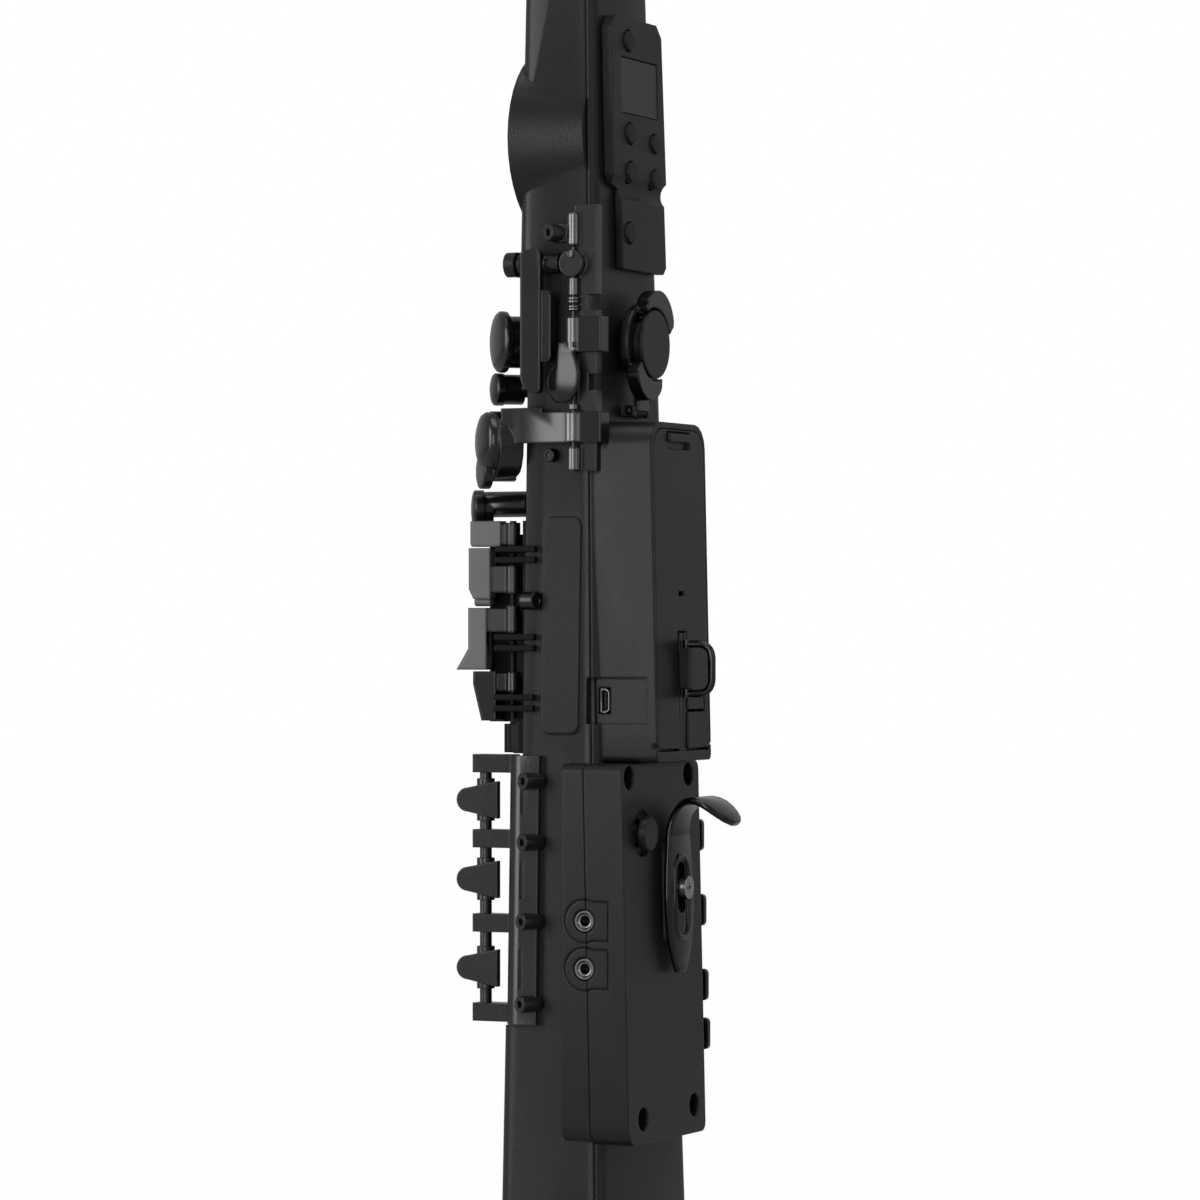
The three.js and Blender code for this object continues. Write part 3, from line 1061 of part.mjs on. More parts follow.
// Lever that swings on the right-hand rod, its nose to the front.
function leverKey(z) {
  const tube = bar('z', fork.tubeRadius, z - lever.tubeHigh / 2, z + lever.tubeHigh / 2, fork.rodX, -fork.rodY);
  const tail = lever.high / 2;
  const nose = lever.noseHigh / 2;
  const noseY = -lever.frontY + nose;
  const steps = 10;
  const round = Array.from({ length: steps + 1 }, (_, i) => {
    const angle = Math.PI / 2 + Math.PI * (i / steps);
    return [noseY + nose * Math.cos(angle), z + nose * Math.sin(angle)];
  });
  const outline = [[-lever.backY, z + tail], ...round, [-lever.backY, z - tail]];
  const fin = prism('x', outline, lever.x - lever.thick / 2, lever.x + lever.thick / 2);
  const bore = bar('z', fork.rodRadius + gap, z - lever.high, z + lever.high, fork.rodX, -fork.rodY);
  return tube.add(fin).subtract(bore);
}

function sideRail() {
  const outline = square(side.railFrontY, side.railBackY, side.bottomZ, side.topZ);
  const ring = (offset) => outline.map(([y, z]) => new THREE.Vector3(-halfAt(z) - offset, y, z));
  const strip = loft([ring(gap), ring(gap + side.railThick)]);
  const posts = side.postZ.map((z) => box(
    side.rodX - side.tubeRadius, -halfAt(z + side.postThick) - gap - side.railThick / 2, side.rodY - side.tubeRadius,
    side.rodY + side.tubeRadius, z, z + side.postThick,
  ));
  const rod = bar('z', side.rodRadius, side.bottomZ, side.topZ - gap, side.rodX, side.rodY, smallSides);
  return join([strip, ...posts, rod]);
}

function sideKey({ z, x }) {
  const low = z - side.tabHigh / 2;
  const high = z + side.tabHigh / 2;
  const tube = bar('z', side.tubeRadius, low, high, side.rodX, side.rodY, smallSides);
  const outline = [
    [side.rodX - side.tubeRadius, side.rodY], [side.rodX + side.tabThick / 2, side.rodY + side.rodRadius],
    [x + side.tabThick, side.tabBackY], [x, side.tabBackY],
  ];
  const bore = bar('z', side.rodRadius + gap, low - overrun, high + overrun, side.rodX, side.rodY, smallSides);
  return tube.add(prism('z', outline, low, high)).subtract(bore);
}

function lowKey(z) {
  const plate = box(
    low.x - low.half, low.x + low.half, -low.outY, -low.outY + low.thick, z - low.high / 2, z + low.high / 2,
  );
  const hub = bar('x', low.hubRadius, low.x - low.half, low.x + low.half, -low.pinY, z, smallSides);
  const web = box(low.x - low.half, low.x + low.half, -low.outY + low.thick / 2, -low.pinY, z - low.hubRadius, z + low.hubRadius);
  const pinHalf = low.half + low.pinReach;
  const pin = bar('x', low.pinRadius, low.x - pinHalf, low.x + pinHalf, -low.pinY, z, smallSides);
  return join([plate, hub, web, pin]);
}

// Thumb hook, its screw, and the round analog controller.
function hookShape() {
  const corner = hook.corner;
  const plate = backBlock(
    roundedOutline(-hook.half, hook.half, hook.bottomZ, hook.topZ, [corner, corner, corner / 3, corner / 3]),
    hook.standOff, hook.standOff + hook.thick,
  );
  const inner = hook.standOff + backAt(hook.topZ);
  const line = [
    new THREE.Vector2(inner + hook.thick / 2, hook.topZ - hook.thick),
    ...hookArch.map(({ out, up }) => new THREE.Vector2(inner + hook.thick / 2 + out, hook.topZ + up)),
  ];
  const curve = new THREE.SplineCurve(line);
  const rings = hookShares.map((share, i) => {
    const point = curve.getPoint(i / (hookShares.length - 1));
    const along = curve.getTangent(i / (hookShares.length - 1));
    const across = new THREE.Vector2(-along.y, along.x).multiplyScalar(hook.thick / 2);
    const half = share * hook.tongueHalf;
    const edge = half - hook.thick / 2;
    return [
      [-edge, 1], [edge, 1], [half, 0], [edge, -1], [-edge, -1], [-half, 0],
    ].map(([x, side]) => new THREE.Vector3(x, point.x + across.x * side, point.y + across.y * side));
  });
  const slot = box(
    -hook.slotHalf, hook.slotHalf, 0, reach, hook.slotZ - hook.slotHigh, hook.slotZ + hook.slotHigh,
  );
  return plate.add(loft(rings)).subtract(slot);
}

function hookScrew() {
  const seat = backAt(hook.slotZ) + hook.standOff + hook.thick + hook.washerGap;
  const head = bar('y', hook.screwHead, seat, seat + hook.headHigh, 0, hook.slotZ);
  const shank = bar('y', hook.shank, seat - hook.shankDeep, seat + hook.headHigh / 2, 0, hook.slotZ, smallSides);
  const cross = [0, Math.PI / 2].map((turn) => {
    const bit = new THREE.BoxGeometry(hook.screwHead, hook.headHigh, hook.washerGap * 2);
    bit.rotateY(turn);
    return placed(bit, 0, seat + hook.headHigh, hook.slotZ);
  });
  return cut(head.add(shank), cross);
}

function wheelShape() {
  const ball = placed(new THREE.SphereGeometry(wheel.ballRadius, smallSides, smallSides / 2), wheel.x, wheel.pivotY, wheel.z);
  const stem = bar('y', wheel.stemRadius, wheel.pivotY, wheel.faceY - wheel.thick / 2, wheel.x, wheel.z, smallSides);
  const disc = bar('y', wheel.radius, wheel.faceY - wheel.thick, wheel.faceY, wheel.x, wheel.z, roundSides, wheel.radius - gap);
  return join([ball, stem, disc]);
}

// Bell: the body's rounded rectangle flares to a round rim.
function bellRing(share, inset) {
  const z = body.bottomZ - gap - share * (body.bottomZ - gap);
  const ease = share * share;
  const half = halfAt(body.bottomZ);
  const front = frontAt(body.bottomZ);
  const back = backAt(body.bottomZ);
  const mix = (a, b) => THREE.MathUtils.lerp(a, b, ease);
  const radius = mix(body.cornerRadius, bell.rimRadius) - inset;
  const limitY = mix((back - front) / 2, bell.rimRadius) - inset;
  const limitX = mix(half, bell.rimRadius) - inset;
  const centre = mix((back + front) / 2, bell.centreY);
  const corner = Math.min(radius, limitX - gap, limitY - gap);
  const outline = roundedOutline(-limitX, limitX, centre - limitY, centre + limitY, [corner, corner, corner, corner], cornerSteps + 2);
  return outline.map(([x, y]) => new THREE.Vector3(x, y, z));
}

function bellShape() {
  const shares = Array.from({ length: bell.levels + 1 }, (_, i) => i / bell.levels);
  const outer = loft(shares.map((share) => bellRing(share, 0)).reverse());
  const inner = loft(shares.map((share) => bellRing(share, bell.wall)).reverse());
  const below = loft([bellRing(1, bell.wall).map((p) => p.setZ(-overrun)), bellRing(1, bell.wall)]);
  const lip = bar('z', bell.lipRadius, 0, bell.lipHigh, 0, bell.centreY, largeSides);
  const passage = loft([
    bodyRing(body.bottomZ, bell.wall).map((p) => p.setZ(body.bottomZ - body.wall)),
    bodyRing(body.bottomZ, bell.wall).map((p) => p.setZ(body.bottomZ + overrun)),
  ]);
  return cut(outer.add(lip), [inner, below, passage]);
}

// Neck: a collar on the body's top, a plug in it, and a bent tube.
const neckPath = new THREE.CatmullRomCurve3([
  new THREE.Vector3(0, neck.centreY, body.topZ + neck.collarHigh / 2),
  new THREE.Vector3(0, neck.centreY, neck.riseZ),
  new THREE.Vector3(0, neck.centreY + neck.leanY / 5, neck.bendZ),
  new THREE.Vector3(0, neck.centreY + neck.leanY, neck.topZ),
]);
const neckEnd = neckPath.getPoint(1);
const neckLean = neckPath.getTangent(1);

function alongNeck(radius, sides) {
  return solid(new THREE.ExtrudeGeometry(circle(radius, sides), { steps: neck.steps, extrudePath: neckPath }));
}

function neckShape() {
  const base = body.topZ + gap;
  const collar = loft([
    bodyRing(body.topZ, neck.collarInset / 2).map((p) => p.setZ(base)),
    bodyRing(body.topZ, neck.collarInset).map((p) => p.setZ(base + neck.collarHigh * 0.7)),
    bodyRing(body.topZ, neck.collarInset * 2).map((p) => p.setZ(base + neck.collarHigh)),
  ]);
  const plug = bar('z', neck.plugRadius, body.topZ - body.wall * 2, base + body.wall, 0, neck.centreY);
  const bore = alongNeck(neck.bore, smallSides);
  const lowBore = bar('z', neck.bore, body.topZ - overrun * 2, body.topZ + neck.collarHigh / 2 + gap, 0, neck.centreY, smallSides);
  return cut(join([collar, plug, alongNeck(neck.radius, roundSides)]), [bore, lowBore]);
}

// Spigot on the neck's end, and the pieces that sit on it; these are made along Z from the neck's end.
function spigot() {
  const tube = bar('z', mouth.bore - gap, -neck.radius / 2, mouth.boreDeep - gap * 2, 0, 0)
    .subtract(bar('z', neck.bore, -neck.radius, mouth.boreDeep, 0, 0, smallSides));
  return tube;
}

function mouthpieceShape() {
  const shank = bar('z', mouth.shankRadius, gap, mouth.tableStart, 0, 0, roundSides, mouth.radius);
  const barrel = bar('z', mouth.radius, mouth.tableStart, mouth.length, 0, 0, roundSides);
  const table = box(-reach, reach, mouth.faceX, reach, mouth.tableStart, mouth.length + overrun);
  const beak = prism('x', [
    [-mouth.radius, mouth.beakStart], [mouth.faceX - mouth.tipHigh, mouth.length],
    [mouth.faceX - mouth.tipHigh, mouth.length + overrun], [-reach, mouth.length + overrun], [-reach, mouth.beakStart],
  ], -reach, reach);
  const window = prism('x', [
    [-mouth.tipHigh, mouth.windowStart], [mouth.faceX - mouth.tipHigh / 2, mouth.length - overrun],
    [mouth.faceX + overrun, mouth.length - overrun], [mouth.faceX + overrun, mouth.windowStart],
  ], -mouth.windowHalf, mouth.windowHalf);
  const bore = bar('z', mouth.bore, -overrun, mouth.boreDeep, 0, 0);
  const throat = bar('z', mouth.throat, mouth.boreDeep - overrun, mouth.windowStart + overrun * 2, 0, 0, smallSides);
  return cut(shank.add(barrel), [table, beak, window, bore, throat]);
}

function reedShape() {
  const base = mouth.faceX + gap;
  const vamp = (reed.start + reed.end) / 2;
  const outline = [
    [base, reed.start], [base, reed.end], [base + reed.tip, reed.end], [base + reed.butt, vamp], [base + reed.butt, reed.start],
  ];
  return prism('x', outline, -reed.half, reed.half);
}

function ligatureShape() {
  const outer = ligature.inner + ligature.wall;
  const ring = bar('z', outer, ligature.start, ligature.end, 0, 0, largeSides)
    .subtract(bar('z', ligature.inner, ligature.start - overrun, ligature.end + overrun, 0, 0, largeSides));
  const lugZ = [1 / 4, 3 / 4].map((share) => THREE.MathUtils.lerp(ligature.start, ligature.end, share));
  const lugs = lugZ.flatMap((z) => [
    box(-ligature.lugHalf, ligature.lugHalf, outer - ligature.wall / 2, outer + ligature.lugHigh, z - ligature.lugHalf, z + ligature.lugHalf),
    bar('x', ligature.screwRadius, -ligature.screwHalf, ligature.screwHalf, outer + ligature.lugHigh / 2, z, smallSides),
  ]);
  return join([ring, ...lugs]);
}

// Finishes.
const satinBlack = { color: 0x2f2f31, roughness: 0.5, metalness: 0 };
const housingBlack = { color: 0x38383a, roughness: 0.55, metalness: 0 };
const glossBlack = { color: 0x151517, roughness: 0.18, metalness: 0 };
const glassBlack = { color: 0x0c0d10, roughness: 0.08, metalness: 0 };
const brightSteel = { color: 0xb9bbbe, roughness: 0.28, metalness: 1 };
const darkSteel = { color: 0x55565a, roughness: 0.35, metalness: 1 };
const caneTone = { color: 0xd9c38f, roughness: 0.6, metalness: 0 };
const boardGreen = { color: 0x1e4a2c, roughness: 0.5, metalness: 0 };

const root = new THREE.Group();
root.position.set(0, -strap.pivotY, -strap.pivotZ);

function piece(name, shape, finish, parent = root) {
  const mesh = new THREE.Mesh(toGeometry(shape), new THREE.MeshStandardMaterial(finish));
  mesh.name = name;
  parent.add(mesh);
  return mesh;
}

piece('front_shell', frontShell(), satinBlack);
piece('rear_shell', rearShell(), satinBlack);
piece('bell', bellShape(), satinBlack);
piece('neck', alongHead(neckShape(), spigot()), satinBlack);
piece('speaker', speakerUnit(), darkSteel);
piece('speaker_grille', grillePlate(), darkSteel);
piece('main_board', boardPlate(), boardGreen);

// The neck with its spigot turned into the neck's own direction.
function alongHead(shape, added) {
  const turn = new THREE.Quaternion().setFromUnitVectors(new THREE.Vector3(0, 0, 1), neckLean);
  const geometry = toGeometry(added);
  geometry.applyQuaternion(turn);
  geometry.translate(neckEnd.x, neckEnd.y, neckEnd.z);
  return shape.add(solid(geometry));
}

const head = new THREE.Group();
head.position.copy(neckEnd);
head.quaternion.setFromUnitVectors(new THREE.Vector3(0, 0, 1), neckLean);
root.add(head);
piece('mouthpiece', mouthpieceShape(), glossBlack, head);
piece('reed', reedShape(), caneTone, head);
piece('ligature', ligatureShape(), brightSteel, head);

// Four cells in two columns, leaning with the back plane.
const cellRise = bay.topZ - bay.bottomZ;
[0, 1].forEach((row) => [-1, 1].forEach((sign) => {
  const mesh = piece(`battery_cell_${row * 2 + (sign + 3) / 2}`, cellShape(), darkSteel);
  const foot = bay.bottomZ + gap * 2 + row * (cellRise / 2);
  mesh.position.set(sign * (cell.pitchX / 2), backAt(foot) + bay.floor + cell.radius + gap, foot);
  mesh.rotation.x = backSlope;
}));

piece('battery_cover', coverShape(), satinBlack);
piece('strap_plate', strapPlate(), satinBlack);
piece('strap_ring', strapRing(), darkSteel);
piece('usb_port', usbShell(), brightSteel);
piece('phones_jack', jackBarrel(jack.phonesZ), darkSteel);
piece('aux_jack', jackBarrel(jack.auxZ), darkSteel);
piece('control_panel', panelShape(), satinBlack);
piece('display_window', displayShape(), glassBlack);
buttonPlaces.forEach((place, i) => piece(`panel_button_${i + 1}`, buttonShape(place), satinBlack));
piece('thumb_rest', thumbRest(), satinBlack);
piece('octave_key', octaveKey(), glossBlack);
piece('thumb_hook', hookShape(), glossBlack);
piece('thumb_screw', hookScrew(), brightSteel);
piece('analog_controller', wheelShape(), satinBlack);
piece('palm_key_rail', palmRail(), satinBlack);
piece('palm_key_rod', palmRod(), brightSteel);
piece('palm_spoon_key', spoonKey(), glossBlack);
piece('palm_paddle_key', paddleKey(), glossBlack);
piece('left_middle_key', domeKey(), glossBlack);
piece('lh_stack_rail', stackRail(), satinBlack);
stackKeys.forEach((key) => piece(key.name, stackKey(key), glossBlack));
piece('table_bracket', tableBracket(), satinBlack);
tableKeys.forEach((key) => piece(key.name, tableKey(key), glossBlack));
piece('rh_key_bracket', forkBracket(), satinBlack);
levers.forEach(({ name, z }) => piece(name, leverKey(z), glossBlack));
piece('side_key_rail', sideRail(), satinBlack);
sideKeys.forEach((key) => piece(key.name, sideKey(key), glossBlack));
lowKeys.forEach(({ name, z }) => piece(name, lowKey(z), glossBlack));

export default root;
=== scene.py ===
import math
import bpy
import bmesh
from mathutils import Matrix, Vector


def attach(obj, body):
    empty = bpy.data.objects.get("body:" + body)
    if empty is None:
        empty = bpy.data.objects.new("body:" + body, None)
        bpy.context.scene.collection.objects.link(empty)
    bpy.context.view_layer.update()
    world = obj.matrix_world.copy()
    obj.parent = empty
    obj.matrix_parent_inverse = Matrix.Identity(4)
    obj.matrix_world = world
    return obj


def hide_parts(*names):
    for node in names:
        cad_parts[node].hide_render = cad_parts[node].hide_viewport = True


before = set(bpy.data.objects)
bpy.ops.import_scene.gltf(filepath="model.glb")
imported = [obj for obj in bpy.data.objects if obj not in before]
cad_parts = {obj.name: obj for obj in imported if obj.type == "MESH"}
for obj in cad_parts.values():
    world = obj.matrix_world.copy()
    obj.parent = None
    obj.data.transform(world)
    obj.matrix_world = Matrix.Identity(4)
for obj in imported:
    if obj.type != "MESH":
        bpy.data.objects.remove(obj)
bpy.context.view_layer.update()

mm = 0.001
pivot = {"y": 35.2, "z": 272.2}  # the strap ring's pivot, the frame's origin, in design millimetres
backLine = {"low": 60.0, "high": 540.0, "backLow": 21.25, "backHigh": 10.55}  # the body's tapering back


def at(x, y, z):
    return Vector((x * mm, (y - pivot["y"]) * mm, (z - pivot["z"]) * mm))


def backAt(z):
    share = (z - backLine["low"]) / (backLine["high"] - backLine["low"])
    return backLine["backLow"] + (backLine["backHigh"] - backLine["backLow"]) * share


def placed(name, mesh):
    made = bpy.data.objects.new(name, mesh)
    bpy.context.scene.collection.objects.link(made)
    return made


# a socket that takes part in sums, and the makers of all other nodes
class Wire:
    def __init__(self, tree, socket):
        self.tree = tree
        self.socket = socket

    def step(self, operation, first, second):
        node = self.tree.nodes.new("ShaderNodeMath")
        node.operation = operation
        for place, value in enumerate((first, second)):
            if isinstance(value, Wire):
                self.tree.links.new(value.socket, node.inputs[place])
            else:
                node.inputs[place].default_value = value
        return Wire(self.tree, node.outputs[0])

    def __add__(self, other): return self.step("ADD", self, other)
    def __radd__(self, other): return self.step("ADD", other, self)
    def __sub__(self, other): return self.step("SUBTRACT", self, other)
    def __rsub__(self, other): return self.step("SUBTRACT", other, self)
    def __mul__(self, other): return self.step("MULTIPLY", self, other)
    def __rmul__(self, other): return self.step("MULTIPLY", other, self)


class Nodes:
    def __init__(self, tree):
        self.tree = tree

    def node(self, kind, settings, sockets, output=0):
        made = self.tree.nodes.new(kind)
        for key, value in settings.items():
            if key == "stops":
                for element, (spot, shade) in zip(made.color_ramp.elements, value):
                    element.position = spot
                    element.color = (shade, shade, shade, 1)
            else:
                setattr(made, key, value)
        for key, value in sockets.items():
            if isinstance(value, Wire):
                self.tree.links.new(value.socket, made.inputs[key])
            else:
                made.inputs[key].default_value = value
        return Wire(self.tree, made.outputs[output])

    def ray(self, kind):
        return self.node("ShaderNodeLightPath", {}, {}, kind)


class Finish(Nodes):
    edgeSamples = 6

    def __init__(self, name):
        self.material = bpy.data.materials.new(name)
        self.material.use_nodes = True
        super().__init__(self.material.node_tree)
        self.shader = self.tree.nodes["Principled BSDF"]
        self.place = self.node("ShaderNodeTexCoord", {}, {}, "Object")

    def noise(self, scale, detail, rough=0.5, stretch=None):
        vector = self.place
        if stretch:
            vector = self.node("ShaderNodeMapping", {}, {"Vector": vector, "Scale": stretch}, "Vector")
        return self.node("ShaderNodeTexNoise", {}, {
            "Vector": vector, "Scale": scale, "Detail": detail, "Roughness": rough}, "Fac")

    def mask(self, value, low, high):
        return self.node("ShaderNodeValToRGB", {"stops": ((low, 0.0), (high, 1.0))}, {"Fac": value}, "Color")

    def mix(self, factor, first, second):
        first, second = (tone if isinstance(tone, Wire) else (*tone, 1) for tone in (first, second))
        return self.node("ShaderNodeMix", {"data_type": "RGBA"}, {0: factor, 6: first, 7: second}, 2)

    def bump(self, height, strength, distance, below=None):
        sockets = {"Height": height, "Strength": strength, "Distance": distance}
        if below:
            sockets["Normal"] = below
        return self.node("ShaderNodeBump", {}, sockets, "Normal")

    def roundedEdge(self, radius):
        return self.node("ShaderNodeBevel", {"samples": self.edgeSamples}, {"Radius": radius * mm}, "Normal")

    def give(self, **links):
        for key, value in links.items():
            socket = self.shader.inputs[key.replace("_", " ")]
            if isinstance(value, Wire):
                self.tree.links.new(value.socket, socket)
            elif isinstance(value, tuple):
                socket.default_value = (*value, 1)
            else:
                socket.default_value = value
        return self.material


# satin plastic and paint: a soft mottle, rubbed patches, fine grain and a little dust
plasticIor = 1.5
satinDetail = {"mottle": 4.0, "mottleShare": 0.6, "grain": (2.0, 0.6), "grainDepth": 0.0002,
               "rub": (5.0, 0.62, (1, 1, 0.35)), "rubMask": (0.56, 0.74), "roughSpread": 0.10,
               "dust": (1.0, 0.4), "dustMask": (0.70, 0.78), "dustTone": (0.20, 0.20, 0.20)}


def satinPlastic(name, values):
    finish, fixed = Finish(name), satinDetail
    mottle = finish.noise(values["mottleScale"], fixed["mottle"])
    grain = finish.noise(values["grainScale"], *fixed["grain"])
    rubbed = finish.mask(finish.noise(values["rubScale"], *fixed["rub"]), *fixed["rubMask"])
    dust = finish.mask(finish.noise(values["dustScale"], *fixed["dust"]), *fixed["dustMask"])
    tone = finish.mix(mottle * fixed["mottleShare"], values["deep"], values["pale"])
    tone = finish.mix(dust * values["dust"], tone, fixed["dustTone"])
    rough = values["rough"] + (mottle - 0.5) * fixed["roughSpread"] - rubbed * values["rub"]
    fine = finish.bump(grain, values["grain"], fixed["grainDepth"], finish.roundedEdge(values["edge"]))
    return finish.give(Base_Color=tone, Roughness=rough, Normal=fine, IOR=plasticIor,
                       Specular_IOR_Level=values["shine"])


# gloss plastic and lacquer: a faint haze, hairlines along the body and a slow ripple
glossDetail = {"haze": (4.0, 0.55), "hazeShare": 0.5, "hazeRough": 0.08, "hair": (190.0, 2.0, 0.5, (1, 1, 0.06)),
               "hairMask": (0.60, 0.66), "hairRough": 0.05, "ripple": (70.0, 2.0), "rippleBump": (0.05, 0.0004)}


def glossPlastic(name, values):
    finish, fixed = Finish(name), glossDetail
    haze = finish.noise(values["hazeScale"], *fixed["haze"])
    hair = finish.mask(finish.noise(*fixed["hair"]), *fixed["hairMask"])
    tone = finish.mix(haze * fixed["hazeShare"], values["deep"], values["pale"])
    if "armFrom" in values:  # ahead of this line the touch is pale as a painted reflection; behind it the arm is near black, a little darker as painted shade
        depth = finish.node("ShaderNodeSeparateXYZ", {}, {"Vector": finish.place}, "Y")
        onArm = depth.step("GREATER_THAN", depth, at(0, values["armFrom"], 0).y)
        tone = finish.mix(onArm, tone, values["arm"])
    rough = values["rough"] + (haze - 0.5) * fixed["hazeRough"] + hair * fixed["hairRough"]
    edge = finish.roundedEdge(values["edge"])
    ripple = finish.bump(finish.noise(*fixed["ripple"]), *fixed["rippleBump"], edge)
    return finish.give(Base_Color=tone, Roughness=rough, Normal=ripple, IOR=plasticIor,
                       Specular_IOR_Level=values["shine"])


# plated metal: brushed streaks over a cloudy tone
metalDetail = {"streak": (240.0, 3.0, 0.6), "streakRough": 0.16, "streakBump": (0.12, 0.0001),
               "bloom": (60.0, 3.0), "bloomShare": 0.7}


def platedMetal(name, values):
    finish, fixed = Finish(name), metalDetail
    streak = finish.noise(*fixed["streak"], values["brush"])
    tone = finish.mix(finish.noise(*fixed["bloom"]) * fixed["bloomShare"], values["deep"], values["pale"])
    rough = values["rough"] + (streak - 0.5) * fixed["streakRough"]
    return finish.give(Base_Color=tone, Roughness=rough, Metallic=1.0,
                       Normal=finish.bump(streak, *fixed["streakBump"]))


caneLook = {"fibre": (420.0, 4.0, 0.6, (1, 1, 0.05)), "deep": (0.42, 0.29, 0.12), "pale": (0.68, 0.54, 0.29),
            "rough": 0.5, "spread": 0.2, "bump": (0.3, 0.0002)}
boardLook = {"track": (160.0, 0.0, 0.5, (1, 1, 0.3)), "trackMask": (0.49, 0.52), "deep": (0.010, 0.050, 0.018),
             "pale": (0.020, 0.090, 0.035), "rough": 0.45, "spread": 0.1, "bump": (0.3, 0.0001)}


def caneFinish(name, values):
    finish = Finish(name)
    fibre = finish.noise(*values["fibre"])
    return finish.give(Base_Color=finish.mix(fibre, values["deep"], values["pale"]),
                       Roughness=values["rough"] + (fibre - 0.5) * values["spread"],
                       Normal=finish.bump(fibre, *values["bump"]))


def boardFinish(name, values):
    finish = Finish(name)
    track = finish.mask(finish.noise(*values["track"]), *values["trackMask"])
    return finish.give(Base_Color=finish.mix(track, values["deep"], values["pale"]),
                       Roughness=values["rough"] - track * values["spread"],
                       Normal=finish.bump(track, *values["bump"]))


shellLook = {"deep": (0.006, 0.006, 0.0065), "pale": (0.011, 0.011, 0.0115), "rough": 0.38, "mottleScale": 22.0,
             "grainScale": 1900.0, "rubScale": 30.0, "dustScale": 620.0, "dust": 0.02, "rub": 0.08,
             "grain": 0.35, "shine": 0.26, "edge": 1.1}
# frontPaintedShadeLook: the front shell's pale tone is a little darker than the rear shell's, as painted shade over
# the flank shaded by the keys; its roughness and shine are the surface's own
frontPaintedShadeLook = {**shellLook, "pale": (0.010, 0.010, 0.0105), "rough": 0.34, "shine": 0.28}
panelLook = {**shellLook, "rough": 0.44, "mottleScale": 35.0, "grainScale": 2600.0, "rubScale": 40.0,
             "dustScale": 700.0, "dust": 0.04, "rub": 0.06, "grain": 0.45, "edge": 0.9}
rubberLook = {"deep": (0.008, 0.008, 0.0085), "pale": (0.014, 0.014, 0.0145), "rough": 0.58, "mottleScale": 60.0,
              "grainScale": 3000.0, "rubScale": 90.0, "dustScale": 900.0, "dust": 0.08, "rub": 0.05,
              "grain": 0.3, "shine": 0.26, "edge": 0.5}
bracketLook = {"deep": (0.008, 0.008, 0.0085), "pale": (0.013, 0.013, 0.0135), "rough": 0.22, "mottleScale": 30.0,
               "grainScale": 2400.0, "rubScale": 45.0, "dustScale": 620.0, "dust": 0.05, "rub": 0.05,
               "grain": 0.18, "shine": 0.46, "edge": 0.6}
# paintedShadeLook is painted shade: the rails and the table bracket, which sit in deep shadow behind the keys, get a
# near-black tone darker than the bracket paint
paintedShadeLook = {**bracketLook, "deep": (0.0015, 0.0015, 0.002), "pale": (0.003, 0.003, 0.0035), "rough": 0.34,
             "dust": 0.02, "shine": 0.12, "edge": 0.8}
keyLook = {"deep": (0.003, 0.003, 0.0035), "pale": (0.007, 0.007, 0.0075), "rough": 0.20, "hazeScale": 45.0,
           "shine": 0.45, "edge": 1.0}
glassLook = {"deep": (0.005, 0.005, 0.006), "pale": (0.008, 0.008, 0.010), "rough": 0.30, "hazeScale": 25.0,
             "shine": 0.35, "edge": 0.3}
hookLook = {"deep": (0.002, 0.002, 0.0025), "pale": (0.004, 0.004, 0.0045), "rough": 0.10, "hazeScale": 30.0,
            "shine": 0.36, "edge": 0.6}
# touchPaintedReflectionLook: the pale grey base of the table touches is a painted reflection of a lamp on gloss black
# plastic; the near-black arm tone is the plastic's own black, set a little darker as painted shade
touchPaintedReflectionLook = {"deep": (0.075, 0.075, 0.0755), "pale": (0.115, 0.115, 0.1155), "rough": 0.34, "hazeScale": 40.0,
             "shine": 0.55, "edge": 1.4, "arm": (0.002, 0.002, 0.0025)}
tubeLook = {"deep": (0.11, 0.11, 0.113), "pale": (0.19, 0.19, 0.193), "rough": 0.34, "brush": (1, 1, 0.1)}
brightLook = {"deep": (0.30, 0.30, 0.31), "pale": (0.48, 0.48, 0.49), "rough": 0.26, "brush": (1, 1, 0.08)}
darkLook = {"deep": (0.030, 0.030, 0.032), "pale": (0.060, 0.060, 0.063), "rough": 0.30, "brush": (1, 1, 0.2)}

finishes = {
    "shell": satinPlastic("satinShell", shellLook),
    "front": satinPlastic("frontShellPaintedShade", frontPaintedShadeLook),
    "bracket": satinPlastic("bracketPaint", bracketLook),
    "panel": satinPlastic("panelSkin", panelLook),
    "rubber": satinPlastic("buttonRubber", rubberLook),
    "gloss": glossPlastic("glossKey", keyLook),
    "glass": glossPlastic("displayGlass", glassLook),
    "shade": satinPlastic("paintedShadeSatin", paintedShadeLook),
    "hook": glossPlastic("hookLacquer", hookLook),
    "tube": platedMetal("tubePlate", tubeLook),
    "bright": platedMetal("brightPlate", brightLook),
    "dark": platedMetal("darkPlate", darkLook),
    "touchShortPaintedReflection": glossPlastic("touchShortPaintedReflection", {**touchPaintedReflectionLook, "armFrom": -20.8}),
    "touchMiddlePaintedReflection": glossPlastic("touchMiddlePaintedReflection", {**touchPaintedReflectionLook, "armFrom": -24.6}),
    "touchLongPaintedReflection": glossPlastic("touchLongPaintedReflection", {**touchPaintedReflectionLook, "armFrom": -26.0}),
    "cane": caneFinish("cane", caneLook),
    "board": boardFinish("board", boardLook),
}
print("finishes made:", len(finishes))

